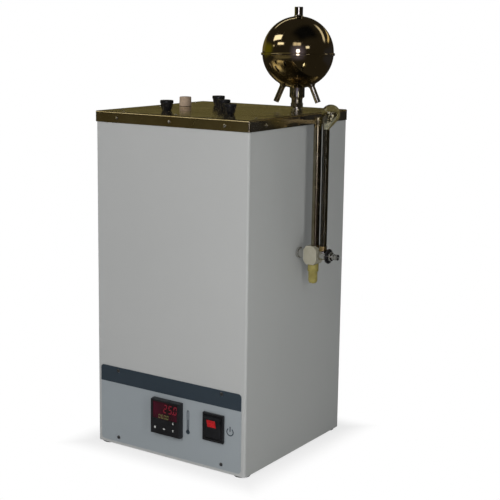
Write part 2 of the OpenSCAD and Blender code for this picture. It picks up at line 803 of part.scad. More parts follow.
module condenser_neck() {
    z1 = union_top + seat_gap;
    z2 = z1 + waist_h;
    color("silver") at_condenser() difference() {
        union() {
            translate([0, 0, spigot_top + seat_gap]) cylinder(h = z1 - spigot_top, d = tail_d);
            translate([0, 0, spigot_top + seat_gap]) cylinder(h = flange_t, d = flange_d);
            translate([0, 0, z1]) cylinder(h = waist_h, d = waist_d);
            translate([0, 0, z2 - touch]) cylinder(h = chamfer_h + touch, d1 = waist_d, d2 = neck_d);
            translate([0, 0, z2 + chamfer_h - touch])
                cylinder(h = ball_rise - bulb_r - z2 - chamfer_h + touch, d = neck_d);
        }
        translate([0, 0, spigot_top - eps]) cylinder(h = ball_rise, d = neck_bore);
        translate([0, 0, ball_rise]) sphere(bulb_r);
    }
}

module shell_ball(r, wall) {
    difference() {
        sphere(r, $fn = 96);
        sphere(r - wall, $fn = 96);
    }
}

module lower_shell() {
    color(steel) at_condenser() difference() {
        translate([0, 0, ball_rise]) shell_ball(ball_r, ball_wall);
        translate([0, 0, seam_z]) cylinder(h = ball_d, d = 2 * ball_d);
        translate([0, 0, ball_rise - ball_d]) cylinder(h = ball_d, d = neck_d);
        at_stubs() translate([0, 0, -eps]) cylinder(h = stub_l + eps, d = stub_d);
    }
}

module upper_shell() {
    color(steel) at_condenser() difference() {
        union() {
            intersection() {
                translate([0, 0, ball_rise]) shell_ball(ball_r, ball_wall);
                translate([0, 0, seam_z]) cylinder(h = ball_d, d = 2 * ball_d);
            }
            translate([0, 0, seam_z]) rotate_extrude() seam_bead();
        }
        translate([0, 0, ball_rise]) cylinder(h = ball_d, d = vent_d);
    }
}

// Half section of the rolled seam: a round-nosed bead outside the ball
module seam_bead() {
    difference() {
        union() {
            translate([ball_r - 0.6, -seam_h / 2]) square([0.6 + seam_out - seam_h / 4, seam_h]);
            translate([ball_r + seam_out - seam_h / 4, -seam_h / 4]) circle(seam_h / 4);
            translate([ball_r + seam_out - seam_h / 4, seam_h / 4]) circle(seam_h / 4);
            translate([ball_r + seam_out - seam_h / 4, -seam_h / 4]) square([seam_h / 4, seam_h / 2]);
        }
        translate([0, seam_drop]) circle(ball_r, $fn = 96);
    }
}

module vapour_bulb() {
    color("silver") at_condenser() translate([0, 0, ball_rise]) difference() {
        shell_ball(bulb_r, bulb_shell);
        cylinder(h = ball_r, d = vent_bore);
        mirror([0, 0, 1]) cylinder(h = ball_r, d = neck_bore);
    }
}

module vent_tube() {
    weld_d = vent_d + 5;
    weld_h = 2.6;
    color("silver") at_condenser() difference() {
        union() {
            translate([0, 0, ball_rise + bulb_r - 1]) cylinder(h = vent_rise - bulb_r + 1, d = vent_d);
            translate([0, 0, ball_rise + ball_r - 1]) cylinder(h = weld_h + 1, d1 = weld_d, d2 = vent_d);
        }
        translate([0, 0, ball_rise]) cylinder(h = vent_rise + eps, d = vent_bore);
        translate([0, 0, ball_rise]) sphere(bulb_r);
        difference() {
            translate([0, 0, ball_rise]) sphere(ball_r, $fn = 96);
            translate([0, 0, ball_rise]) cylinder(h = ball_d, d = vent_d);
        }
    }
}

// Places a child at each stub's foot, its axis pointing up into the ball
module at_stubs() {
    rotate([0, 0, stub_turn]) for (s = [-1, 1])
        translate([s * stub_foot_r, 0, stub_foot_rise]) rotate([0, -s * stub_tilt, 0]) children();
}

module coolant_stubs() {
    color("silver") at_condenser() at_stubs() difference() {
        cylinder(h = stub_l, d = stub_d);
        translate([0, 0, -eps]) cylinder(h = stub_l + 2 * eps, d = stub_d - 2);
    }
}

module wall_bulkhead() {
    color(bright) translate([0, 0, drain_axis_z]) difference() {
        union() {
            bar_x(bulkhead_x, 3.5, bulkhead_d);
            bar_x(bulkhead_x + 3, bulkhead_l - 3, bulkhead_d - 2);
            bar_x(bulkhead_x + bulkhead_l - 4.5, 4.5, bulkhead_d - 0.6);
            bar_x(bulkhead_x - 2 * sheet, 2 * sheet + touch, pipe_d + 2.4);
        }
        bar_x(bulkhead_x - 3 * sheet, 3 * sheet + 6, pipe_d);
        bar_x(bulkhead_x, bulkhead_l + eps, pipe_d - 3);
    }
}

// Front outline of the drain block: a rectangle with cut corners
module block_outline() {
    a = block_w / 2;
    b = block_h / 2;
    c = block_chamfer;
    polygon([[-a + c * 0.7, -b], [a - c * 0.7, -b], [a, -b + c], [a, b - c],
        [a - c * 0.7, b], [-a + c * 0.7, b], [-a, b - c], [-a, -b + c]]);
}

module drain_block() {
    color([0.78, 0.76, 0.68]) translate([block_mid, 0, drain_axis_z]) difference() {
        rotate([90, 0, 0]) translate([0, 0, -block_d / 2]) linear_extrude(block_d) block_outline();
        translate([-block_mid, 0, 0]) bar_x(block_x - eps, block_w + 2 * eps, pipe_d - 3);
        translate([standpipe_x - block_mid, 0, 0]) cylinder(h = block_h, d = standpipe_d - 3);
        translate([standpipe_x - block_mid, 0, block_h / 2 - 4]) cylinder(h = block_h, d = standpipe_d);
        mirror([0, 0, 1]) cylinder(h = block_h, d = nozzle_d - 6);
    }
}

module drain_nozzle() {
    tip = 3;
    slot = 1.6;
    color([0.72, 0.66, 0.30]) translate([block_mid, 0, nozzle_z]) mirror([0, 0, 1]) difference() {
        union() {
            cylinder(h = nozzle_top_h, d = nozzle_top_d);
            cylinder(h = nozzle_l - tip, d = nozzle_d);
            translate([0, 0, nozzle_l - tip - touch])
                cylinder(h = tip + touch, d1 = nozzle_d, d2 = nozzle_d - 4.6);
        }
        translate([0, 0, -eps]) cylinder(h = nozzle_l + 2 * eps, d = nozzle_d - 6);
        translate([0, 0, nozzle_l]) cube([slot, nozzle_d, tip], center = true);
    }
}

module gauge_barrel() {
    color(bright) translate([0, 0, drain_axis_z]) difference() {
        union() {
            bar_x(barrel_x, barrel_l, barrel_d);
            translate([glass_x, 0, 0]) cylinder(h = gland_z - drain_axis_z, d = gland_w);
        }
        bar_x(barrel_x - eps, glass_x - barrel_x + 2, pipe_d - 3);
        translate([glass_x, 0, 0]) cylinder(h = barrel_d, d = glass_d - 2 * glass_wall);
        bar_x(barrel_end - spindle_stem_l, spindle_stem_l + eps, spindle_stem_d + 2 * spindle_fit);
    }
}

module washer_ring() {
    color(dark) translate([0, 0, drain_axis_z]) difference() {
        bar_x(washer_x, washer_t, washer_d);
        bar_x(washer_x - eps, washer_t + 2 * eps, barrel_d);
    }
}

module drain_spindle() {
    groove = 1.2;
    x0 = barrel_end + spindle_gap;
    color(bright) translate([0, 0, drain_axis_z]) difference() {
        union() {
            bar_x(barrel_end - spindle_stem_l + 0.5, spindle_stem_l - 0.5 + spindle_gap + touch, spindle_stem_d);
            bar_x(x0, spindle_l, spindle_d - 1);
            bar_x(x0, spindle_l * 0.36, spindle_d);
            bar_x(x0 + spindle_l * 0.36 + groove, spindle_l * 0.64 - groove, spindle_d);
        }
        bar_x(x0 + spindle_l - 3, 4, 3.4);
        for (a = [0 : 30 : 150]) rotate([a, 0, 0]) translate([x0 + spindle_l * 0.68 + groove / 2, 0, 0])
            cube([spindle_l * 0.5, 0.5, spindle_d + 2], center = true);
    }
}

module standpipe() {
    color("silver") translate([standpipe_x, 0, block_top - 4]) difference() {
        cylinder(h = lid_z - 1.8 - block_top + 4, d = standpipe_d);
        translate([0, 0, -eps]) cylinder(h = lid_z - block_top + 8, d = standpipe_d - 3);
    }
}

module glass_gland() {
    color("goldenrod") translate([glass_x, 0, gland_z]) difference() {
        union() {
            cylinder(h = 2.6, d = gland_w);
            translate([0, 0, 2.4]) cylinder(h = glass_gland_top - gland_z - 2.4, d = gland_w - 0.4);
        }
        translate([0, 0, -eps]) cylinder(h = 4, d = glass_d - 2 * glass_wall);
        translate([0, 0, glass_foot - gland_z]) cylinder(h = 10, d = glass_d);
    }
}

// Outer or inner skin of the sight glass: a straight tube that swells into an offset bulb
module glass_skin(inset) {
    r = bulb_d / 2 - inset;
    cylinder(h = bulb_z - glass_foot - bulb_d / 2, d = glass_d - 2 * inset);
    hull() {
        translate([0, 0, bulb_z - glass_foot - bulb_d / 2 - 7]) cylinder(h = 1, d = glass_d - 2 * inset);
        translate([bulb_out, 0, bulb_z - glass_foot]) sphere(r, $fn = 32);
    }
}

module sight_glass() {
    color([0.75, 0.80, 0.78, 0.5]) translate([glass_x, 0, glass_foot]) difference() {
        glass_skin(0);
        translate([0, 0, -eps]) cylinder(h = 2, d = glass_d - 2 * glass_wall);
        glass_skin(glass_wall);
        translate([bulb_out, 0, bulb_z - glass_foot]) cylinder(h = bulb_d, d = 4);
    }
}

module gauge_clip() {
    x0 = skirt_w / 2;
    x1 = standpipe_x;
    color(bright) translate([0, 0, screw_z]) difference() {
        union() {
            translate([x0, -standpipe_d / 2 - clip_t, -clip_foot / 2]) cube([clip_t, standpipe_d + 2, clip_foot]);
            translate([x0, -standpipe_d / 2 - clip_t, -clip_h / 2]) cube([x1 - x0, clip_t, clip_h]);
            translate([x1, 0, -clip_h / 2]) cylinder(h = clip_h, d = standpipe_d + 2 * clip_t);
        }
        bar_x(x0 - eps, clip_t + 2 * eps, lid_screw_head + 0.3);
        translate([x1, 0, -clip_h]) cylinder(h = 2 * clip_h, d = standpipe_d);
        translate([x1, standpipe_d / 4, -clip_h]) cube([standpipe_d, standpipe_d, 2 * clip_h]);
    }
}

// Places a child at each panel screw, on the panel's face
module at_panel_screws() {
    for (x = [-1, 1], z = [0, 1])
        translate([x * panel_screw_x / 2, panel_y, panel_bottom + panel_screw_z + z * panel_screw_rise])
            children();
}

module control_panel() {
    color([0.60, 0.64, 0.66]) difference() {
        translate([0, front_y, panel_bottom + panel_h / 2]) rotate([90, 0, 0])
            linear_extrude(panel_t) rounded(panel_w, panel_h, panel_r);
        translate([0, panel_y, control_z]) cube([case_w, 4 * panel_t, case_w], center = true);
        translate([rocker_x, panel_y, rocker_z]) cube([switch_w, 4 * panel_t, switch_h], center = true);
        at_panel_screws() bar_y(-eps, 4, 2.6);
    }
}

module panel_header() {
    color([0.20, 0.23, 0.26]) difference() {
        intersection() {
            translate([0, panel_y, panel_bottom + panel_h / 2]) rotate([90, 0, 0])
                linear_extrude(header_t) rounded(panel_w, panel_h, panel_r);
            translate([-panel_w, panel_y - 1, panel_top - header_h]) cube([2 * panel_w, 2, header_h]);
        }
        at_panel_screws() bar_y(-eps, 4, panel_screw_head + 0.4);
    }
}

module panel_screws() {
    color(dark) at_panel_screws() rotate([90, 0, 0])
        domed_screw(panel_screw_head, 1.2, 2.5, sheet + panel_t + 2);
}

module controller_case() {
    color(dark) translate([-case_w / 2, panel_y, control_z - case_w / 2]) cube([case_w, case_l, case_w]);
}

// Bezel seen from its side: a slab whose front edge tapers in
module bezel_profile() {
    a = bezel_w / 2;
    polygon([[-a, 0], [a, 0], [a, bezel_t * 0.45], [a - bezel_taper, bezel_t],
        [-a + bezel_taper, bezel_t], [-a, bezel_t * 0.45]]);
}

module key_pocket_at(dx, dz, extra) {
    translate([dx, bezel_y, control_z + dz]) bar_y(-eps, key_pocket + eps, key_d + extra);
}

module controller_bezel() {
    color(dark) difference() {
        translate([0, panel_y, control_z]) intersection() {
            translate([0, 0, -bezel_w / 2]) linear_extrude(bezel_w) mirror([0, 1]) bezel_profile();
            translate([-bezel_w / 2, 0, 0]) rotate([90, 0, 90]) linear_extrude(bezel_w)
                rotate([0, 0, 90]) bezel_profile();
        }
        translate([-window_w / 2, bezel_y - eps, window_z - window_h / 2])
            cube([window_w, window_t + eps, window_h]);
        for (k = key_spots) key_pocket_at(k[0], k[1], 2 * key_fit);
    }
}

module display_window() {
    inset = 0.6;
    color([0.12, 0.03, 0.04]) translate([-window_w / 2, bezel_y + inset, window_z - window_h / 2])
        cube([window_w, window_t - inset, window_h]);
}

// Key: a round cap that stands a little out of its pocket
module key(i) {
    k = key_spots[i];
    color([0.80, 0.80, 0.78]) translate([k[0], bezel_y, control_z + k[1]]) {
        bar_y(0.4 - key_proud, key_proud + key_pocket - key_travel - 0.2 - 0.4, key_d);
        translate([0, -key_proud, 0]) rotate([-90, 0, 0])
            cylinder(h = 0.4 + touch, d1 = key_d - 0.8, d2 = key_d);
    }
}

module key_cycle() { key(0); }
module key_shift() { key(1); }
module key_up() { key(2); }
module key_down() { key(3); }

module controller_clamp() {
    outer_w = case_w + 2 * clamp_wall;
    color([0.20, 0.20, 0.21]) translate([0, front_y + sheet, control_z]) difference() {
        translate([-outer_w / 2, 0, -outer_w / 2]) cube([outer_w, clamp_l, outer_w]);
        cube([case_w, 4 * clamp_l, case_w], center = true);
        for (x = [-1, 1]) translate([x * case_w / 2, clamp_l / 2, 0])
            cube([clamp_slot_w, 2 * clamp_l, case_w * clamp_slot_share], center = true);
    }
}

module rocker_frame() {
    color(dark) translate([rocker_x, panel_y - rocker_frame_t / 2, rocker_z]) difference() {
        cube([rocker_frame_w, rocker_frame_t, rocker_frame_h], center = true);
        cube([rocker_open_w, 2 * rocker_frame_t, rocker_open_h], center = true);
    }
}

// Side outline of the paddle, outwards to the left: a shallow valley in front, ends round about the pin
module paddle_outline() {
    crest = paddle_valley + paddle_r * paddle_slope;
    intersection() {
        circle(paddle_r, $fn = 96);
        polygon([[-crest, -paddle_r], [-paddle_valley, 0], [-crest, paddle_r], [0.4, paddle_r],
            [2.6, paddle_r / 2], [2.6, -paddle_r / 2], [0.4, -paddle_r]]);
    }
}

// Places a child on the paddle's pin, turned to the rest position
module at_rocker() {
    translate([rocker_x, rocker_pin_y, rocker_z]) rotate([rocker_tilt, 0, 0]) children();
}

// Block of the lens in the paddle's upper face
module lens_block(proud, slack) {
    translate([lens_at[0], -paddle_valley - lens_at[1] * paddle_slope, lens_at[1]])
        rotate([rocker_tilt, 0, 0]) translate([0, (lens_t - proud) / 2, 0])
        cube([lens_w - slack, lens_t + proud, lens_h - slack], center = true);
}

module rocker_paddle() {
    color(dark) at_rocker() difference() {
        union() {
            translate([-rocker_w / 2, 0, 0]) rotate([90, 0, 90]) linear_extrude(rocker_w) paddle_outline();
            bar_x(-rocker_w / 2 - paddle_pin_out, rocker_w + 2 * paddle_pin_out, rocker_pin_d);
        }
        lens_block(2, 0);
    }
}

module rocker_lens() {
    color([0.75, 0.08, 0.08]) at_rocker() lens_block(lens_proud, 0.1);
}

module switch_body() {
    color(dark) translate([rocker_x, 0, rocker_z]) difference() {
        translate([-switch_w / 2, panel_y, -switch_h / 2]) cube([switch_w, switch_l, switch_h]);
        translate([-rocker_open_w / 2, panel_y - eps, -rocker_open_h / 2])
            cube([rocker_open_w, switch_cavity + eps, rocker_open_h]);
        translate([0, rocker_pin_y, 0])
            bar_x(-switch_w, 2 * switch_w, rocker_pin_d + 2 * rocker_pin_fit);
    }
}

module relay() {
    base_z = cab_z + 2 * sheet;
    color([0.75, 0.76, 0.78]) translate([fins_x, fins_y, base_z]) {
        cube([fins_w, fins_d, fins_base]);
        for (i = [0 : fin_count - 1]) translate([fin_edge + i * fin_pitch, 0, fins_base - touch])
            cube([fin_t, fins_d, fin_h]);
    }
    color([0.15, 0.15, 0.16]) translate([relay_x, relay_y, base_z]) cube([relay_w, relay_d, relay_h]);
}

module terminal_block() {
    base_z = cab_z + 2 * sheet;
    color([0.90, 0.88, 0.80]) translate([terminals_x, terminals_y, base_z]) difference() {
        cube([terminals_w, terminals_d, terminals_h]);
        for (i = [0 : terminal_count - 1])
            translate([terminal_edge + terminal_pitch * i, terminals_d / 3, terminal_floor])
                cylinder(h = terminals_h, d = terminal_d);
    }
}

module mains_inlet() {
    body_w = inlet_w - 2 * inlet_slack;
    body_h = inlet_h - 2 * inlet_slack;
    color(dark) translate([inlet_x, back_y, inlet_z]) difference() {
        union() {
            translate([-body_w / 2, -inlet_l, -body_h / 2]) cube([body_w, inlet_l + inlet_flange_t, body_h]);
            translate([-inlet_flange_w / 2, 0, -inlet_flange_h / 2])
                cube([inlet_flange_w, inlet_flange_t, inlet_flange_h]);
        }
        translate([0, inlet_flange_t, 0]) cube([socket_w, 2 * socket_l, socket_h], center = true);
        for (x = [-1, 1]) translate([x * inlet_hole_x, -eps, 0])
            bar_y(0, inlet_flange_t + 2 * eps, inlet_hole_d);
    }
    color(bright) translate([inlet_x, back_y - blade_back, inlet_z])
        for (p = [[-blade_pitch, -blade_drop], [0, blade_rise], [blade_pitch, -blade_drop]])
            translate([p[0] - blade_w / 2, 0, p[1] - blade_h / 2]) cube([blade_w, blade_l, blade_h]);
}

translate(centre) cabinet_shell();
translate(centre) back_panel();
translate(centre) base_plate();
translate(centre) bath_shelf();
translate(centre) foot_pads();
translate(centre) rear_screws();
translate(centre) lid_pan();
translate(centre) skirt_screws();
translate(centre) top_screws();
translate(centre) port_sleeves();
translate(centre) lid_gasket();
translate(centre) bath_tank();
translate(centre) insulation_jacket();
translate(centre) insulation_floor();
translate(centre) heater_tube();
translate(centre) heater_glands();
translate(centre) probe_sheath();
translate(centre) drain_pipe();
translate(centre) stopper_front_left();
translate(centre) stopper_front_right();
translate(centre) stopper_back_left();
translate(centre) stopper_centre();
translate(centre) stopper_side();
translate(centre) condenser_spigot();
translate(centre) union_nut();
translate(centre) condenser_neck();
translate(centre) lower_shell();
translate(centre) upper_shell();
translate(centre) vapour_bulb();
translate(centre) vent_tube();
translate(centre) coolant_stubs();
translate(centre) wall_bulkhead();
translate(centre) drain_block();
translate(centre) drain_nozzle();
translate(centre) gauge_barrel();
translate(centre) washer_ring();
translate(centre) drain_spindle();
translate(centre) standpipe();
translate(centre) glass_gland();
translate(centre) sight_glass();
translate(centre) gauge_clip();
translate(centre) control_panel();
translate(centre) panel_header();
translate(centre) panel_screws();
translate(centre) controller_case();
translate(centre) controller_bezel();
translate(centre) display_window();
translate(centre) key_cycle();
translate(centre) key_shift();
translate(centre) key_up();
translate(centre) key_down();
translate(centre) controller_clamp();
translate(centre) rocker_frame();
translate(centre) rocker_paddle();
translate(centre) rocker_lens();
translate(centre) switch_body();
translate(centre) relay();
translate(centre) terminal_block();
translate(centre) mains_inlet();
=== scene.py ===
"""Heated bench bath with stoppered ports, a ball condenser and a side level gauge.

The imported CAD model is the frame. Sizes below are in millimetres, measured from the middle of the
cabinet's footprint, as a maker's drawing would give them; every mesh ends up in metres in the frame.
"""
import json
import logging
import math
from dataclasses import dataclass
from enum import Enum
from functools import cache
from typing import Optional, Sequence, Union

import bpy
from mathutils import Matrix, Vector


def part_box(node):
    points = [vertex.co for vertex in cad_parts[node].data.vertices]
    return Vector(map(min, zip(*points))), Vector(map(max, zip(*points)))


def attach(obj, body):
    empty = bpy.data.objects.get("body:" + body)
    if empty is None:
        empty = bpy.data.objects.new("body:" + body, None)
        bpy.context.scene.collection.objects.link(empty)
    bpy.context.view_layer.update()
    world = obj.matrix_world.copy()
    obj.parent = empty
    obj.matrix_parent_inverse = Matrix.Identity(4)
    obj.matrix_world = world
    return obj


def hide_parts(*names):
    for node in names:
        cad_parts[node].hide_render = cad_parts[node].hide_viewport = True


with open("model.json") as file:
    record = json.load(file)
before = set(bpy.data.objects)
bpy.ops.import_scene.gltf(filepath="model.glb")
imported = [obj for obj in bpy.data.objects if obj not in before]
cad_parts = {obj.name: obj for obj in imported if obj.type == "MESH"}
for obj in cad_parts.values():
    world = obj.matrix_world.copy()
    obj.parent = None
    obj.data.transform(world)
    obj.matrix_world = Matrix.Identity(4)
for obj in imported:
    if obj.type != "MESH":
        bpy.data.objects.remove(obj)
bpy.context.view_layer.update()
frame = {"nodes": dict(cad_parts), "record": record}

LOG = logging.getLogger("bench_bath")
MM = 0.001
MERGE = 2e-6
Point = Sequence[float]
Colour = tuple[float, float, float]
Socket = bpy.types.NodeSocket
Value = Union[float, Socket]
Tint = Union[Colour, Socket]
Piece = bpy.types.Object

lid_low, lid_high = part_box("lid_pan")
LID_MIDDLE = (lid_low + lid_high) / 2
LID_Z = 462.5
SKIRT_SCREW_Z = 454.2
SKIRT_HALF = 123.6
SIDE_X = 122.5
FRONT_Y = -122.5
PANEL_Y = -123.3
BEZEL_Y = -131.7
CONTROL_Z = 59.8
DRAIN_Z = 279.6
CONDENSER_X = 70.0
CONDENSER_Y = 76.0
SCREW_ROW = (-86.5, 0.0, 86.5)


class Axis(Enum):
    """Direction in which a turned piece points."""

    UP = "up"
    DOWN = "down"
    RIGHT = "right"
    LEFT = "left"
    FRONT = "front"
    BACK = "back"


class Size(Enum):
    """How fine a round piece is, as faces round its axis."""

    SMALL = 32
    MEDIUM = 64
    LARGE = 160


AXIS_TURNS = {
    Axis.UP: Matrix.Identity(4),
    Axis.DOWN: Matrix.Rotation(math.pi, 4, "X"),
    Axis.RIGHT: Matrix.Rotation(math.pi / 2, 4, "Y"),
    Axis.LEFT: Matrix.Rotation(-math.pi / 2, 4, "Y"),
    Axis.FRONT: Matrix.Rotation(math.pi / 2, 4, "X"),
    Axis.BACK: Matrix.Rotation(-math.pi / 2, 4, "X"),
}


def spot(x: float, y: float, z: float) -> Vector:
    """Turns a drawing point into the frame's metres.

    Args:
        x: Millimetres to the right of the cabinet's middle.
        y: Millimetres behind the cabinet's middle.
        z: Millimetres above the bench.

    Returns:
        The same point in metres in the frame.
    """
    return Vector((LID_MIDDLE.x + x * MM, LID_MIDDLE.y + y * MM, z * MM))


def pose_at(point: Point, axis: Axis = Axis.UP) -> Matrix:
    """Gives the matrix that stands a piece at a drawing point, facing along an axis."""
    return Matrix.Translation(spot(*point)) @ AXIS_TURNS[axis]


def eased(points: Sequence[Point], arcs: int = 4, loop: bool = False) -> list[tuple[float, float]]:
    """Rounds the corners of a profile.

    Args:
        points: (radius, height) pairs, or triples whose third value is the length to round.
        arcs: Steps in each rounded corner.
        loop: Whether the profile closes on its first point.

    Returns:
        The (radius, height) pairs of the rounded profile.
    """
    out: list[tuple[float, float]] = []
    count = len(points)
    for i, point in enumerate(points):
        here = Vector(point[:2])
        ends = not loop and i in (0, count - 1)
        if len(point) < 3 or ends:
            out.append((here.x, here.y))
            continue
        before = Vector(points[i - 1][:2])
        after = Vector(points[(i + 1) % count][:2])
        start = here + (before - here).normalized() * point[2]
        stop = here + (after - here).normalized() * point[2]
        for k in range(arcs + 1):
            t = k / arcs
            spot_2d = start * (1 - t) ** 2 + here * 2 * t * (1 - t) + stop * t * t
            out.append((spot_2d.x, spot_2d.y))
    if loop:
        out.append(out[0])
    return out


def arc(radius: float, centre: float, start: float, stop: float, steps: int) -> list[tuple[float, float]]:
    """Gives points on a circle round (0, centre), by height angle in degrees from the level line."""
    angles = [math.radians(start + (stop - start) * k / steps) for k in range(steps + 1)]
    return [(radius * math.cos(a), centre + radius * math.sin(a)) for a in angles]


class Bench:
    """The modelling bench: operators in edit mode, as they are used by hand."""

    @staticmethod
    def clear() -> None:
        """Leaves edit mode and deselects everything."""
        active = bpy.context.view_layer.objects.active
        if active is not None and active.mode == "EDIT":
            bpy.ops.object.mode_set(mode="OBJECT")
        bpy.ops.object.select_all(action="DESELECT")

    @staticmethod
    def pick(*pieces: Piece) -> None:
        """Selects only these pieces, the first of them active.

        Args:
            *pieces: What is selected.
        """
        Bench.clear()
        for piece in pieces:
            piece.select_set(True)
        bpy.context.view_layer.objects.active = pieces[0]

    @staticmethod
    def place(piece: Piece, matrix: Matrix) -> None:
        """Moves a piece and writes its place into its mesh.

        Args:
            piece: The piece to move.
            matrix: Where it goes.
        """
        Bench.pick(piece)
        piece.matrix_world = matrix
        bpy.ops.object.transform_apply(location=True, rotation=True, scale=True)

    @staticmethod
    def smooth(piece: Piece, angle: float = 34.0) -> None:
        """Shades a piece smooth, apart from edges sharper than the angle in degrees."""
        Bench.pick(piece)
        bpy.ops.object.shade_smooth_by_angle(angle=math.radians(angle))

    @staticmethod
    def chain(name: str, points: Sequence[Vector]) -> Piece:
        """Draws a chain of edges, and stays in edit mode with all of it selected.

        Args:
            name: Name of the new piece.
            points: The chain's points, in metres.

        Returns:
            The piece, which has edges only.
        """
        Bench.clear()
        bpy.ops.mesh.primitive_plane_add(size=MM, location=(0, 0, 0))
        piece = bpy.context.object
        piece.name = name
        piece.data.name = name
        bpy.ops.object.mode_set(mode="EDIT")
        bpy.ops.mesh.select_all(action="SELECT")
        bpy.ops.mesh.merge(type="CENTER")
        bpy.ops.transform.translate(value=points[0])
        for here, there in zip(points, points[1:]):
            bpy.ops.mesh.extrude_vertices_move(TRANSFORM_OT_translate={"value": there - here})
        bpy.ops.mesh.select_all(action="SELECT")
        return piece

    @staticmethod
    def turned(
        name: str,
        profile: Sequence[Point],
        matrix: Matrix,
        size: Size = Size.MEDIUM,
        sweep: float = 360.0,
        angle: float = 34.0,
    ) -> Piece:
        """Turns a profile round its axis, as on a lathe.

        Args:
            name: Name of the piece.
            profile: (radius, height) pairs in millimetres.
            matrix: Where the piece stands.
            size: Faces round the axis.
            sweep: Degrees that the profile is turned through.
            angle: Sharpest edge that is shaded smooth, in degrees.

        Returns:
            The finished piece, with its place in its mesh.
        """
        piece = Bench.chain(name, [Vector((point[0] * MM, 0, point[1] * MM)) for point in profile])
        steps = max(4, round(size.value * sweep / 360.0))
        bpy.ops.mesh.spin(steps=steps, angle=math.radians(sweep), center=(0, 0, 0), axis=(0, 0, 1))
        bpy.ops.mesh.select_all(action="SELECT")
        bpy.ops.mesh.remove_doubles(threshold=MERGE)
        if sweep < 360.0:
            bpy.ops.mesh.select_all(action="DESELECT")
            bpy.ops.mesh.select_non_manifold()
            bpy.ops.mesh.edge_face_add()
            bpy.ops.mesh.select_all(action="SELECT")
        bpy.ops.mesh.normals_make_consistent(inside=False)
        bpy.ops.object.mode_set(mode="OBJECT")
        Bench.place(piece, matrix)
        Bench.smooth(piece, angle)
        return piece

    @staticmethod
    def block(name: str, low: Point, high: Point) -> Piece:
        """Makes a box between two drawing points.

        Args:
            name: Name of the box.
            low: The corner with the least x, y and z.
            high: The opposite corner.

        Returns:
            The box.
        """
        Bench.clear()
        a, b = spot(*low), spot(*high)
        bpy.ops.mesh.primitive_cube_add(size=1.0, location=(a + b) / 2)
        piece = bpy.context.object
        piece.name = name
        piece.scale = b - a
        bpy.ops.object.transform_apply(location=True, rotation=True, scale=True)
        Bench.smooth(piece)
        return piece

    @staticmethod
    def plate(name: str, outline: Sequence[Point], y: float, depth: float) -> Piece:
        """Makes a thin plate that faces the front, from an outline of (x, z) drawing points.

        Args:
            name: Name of the piece.
            outline: Corners in order.
            y: Place of the plate's front face.
            depth: Thickness, towards the back.

        Returns:
            The plate, closed on all sides.
        """
        piece = Bench.chain(name, [spot(x, y, z) for x, z in outline])
        bpy.ops.mesh.edge_face_add()
        bpy.ops.mesh.extrude_region_move(TRANSFORM_OT_translate={"value": (0, depth * MM, 0)})
        bpy.ops.mesh.select_all(action="SELECT")
        bpy.ops.mesh.normals_make_consistent(inside=False)
        bpy.ops.object.mode_set(mode="OBJECT")
        return piece

    @staticmethod
    def softened(
        node: str, name: str, ease: float, segments: int = 3, limit: float = 32.0
    ) -> Piece:
        """Copies a CAD node and gives its edges the small radius that the real part has.

        Args:
            node: The CAD node to copy.
            name: Name of the new piece.
            ease: Width of the rounded edge, or 0 for smooth shading alone.
            segments: Steps across the rounded edge.
            limit: Edges sharper than this, in degrees, are rounded.

        Returns:
            The new piece; the CAD node is left as it is.
        """
        Bench.clear()
        piece = bpy.data.objects.new(name, frame["nodes"][node].data.copy())
        piece.data.name = name
        bpy.context.scene.collection.objects.link(piece)
        piece.data.materials.clear()
        Bench.pick(piece)
        if piece.data.has_custom_normals:
            bpy.ops.mesh.customdata_custom_splitnormals_clear()
        bpy.ops.object.mode_set(mode="EDIT")
        bpy.ops.mesh.select_all(action="SELECT")
        bpy.ops.mesh.remove_doubles(threshold=MERGE)
        bpy.ops.mesh.dissolve_limited(angle_limit=math.radians(0.6))
        bpy.ops.object.mode_set(mode="OBJECT")
        if ease:
            bevel = piece.modifiers.new("eased edges", "BEVEL")
            bevel.width = ease * MM
            bevel.segments = segments
            bevel.limit_method = "ANGLE"
            bevel.angle_limit = math.radians(limit)
            bpy.ops.object.modifier_apply(modifier=bevel.name)
        Bench.smooth(piece, limit)
        level = piece.modifiers.new("flat faces stay flat", "WEIGHTED_NORMAL")
        level.keep_sharp = True
        level.weight = 100
        bpy.ops.object.modifier_apply(modifier=level.name)
        return piece

    @staticmethod
    def cut(piece: Piece, tool: Piece) -> None:
        """Takes a tool's shape out of a piece and throws the tool away.

        Args:
            piece: The piece that is cut.
            tool: The shape that is taken out of it.
        """
        Bench.pick(piece)
        cutter = piece.modifiers.new("cut", "BOOLEAN")
        cutter.operation = "DIFFERENCE"
        cutter.object = tool
        bpy.ops.object.modifier_apply(modifier=cutter.name)
        bpy.data.objects.remove(tool)

    @staticmethod
    def copies(master: Piece, name: str, places: Sequence[Matrix]) -> Piece:
        """Sets a copy of a master shape at each place and joins them into one piece.

        Args:
            master: A shape that stands at the origin; it is thrown away.
            name: Name of the joined piece.
            places: Where each copy stands.

        Returns:
            The joined piece.
        """
        made = []
        for matrix in places:
            copy = bpy.data.objects.new(name, master.data.copy())
            bpy.context.scene.collection.objects.link(copy)
            copy.data.transform(matrix)
            made.append(copy)
        Bench.pick(*made)
        if len(made) > 1:
            bpy.ops.object.join()
        bpy.data.objects.remove(master)
        joined = bpy.context.view_layer.objects.active
        joined.name = name
        return joined

    @staticmethod
    def joined(name: str, *parts: Piece) -> Piece:
        """Joins parts into one piece.

        Args:
            name: Name of the joined piece.
            *parts: The parts; the first takes in the others.

        Returns:
            The joined piece.
        """
        Bench.pick(*parts)
        bpy.ops.object.join()
        parts[0].name = name
        return parts[0]


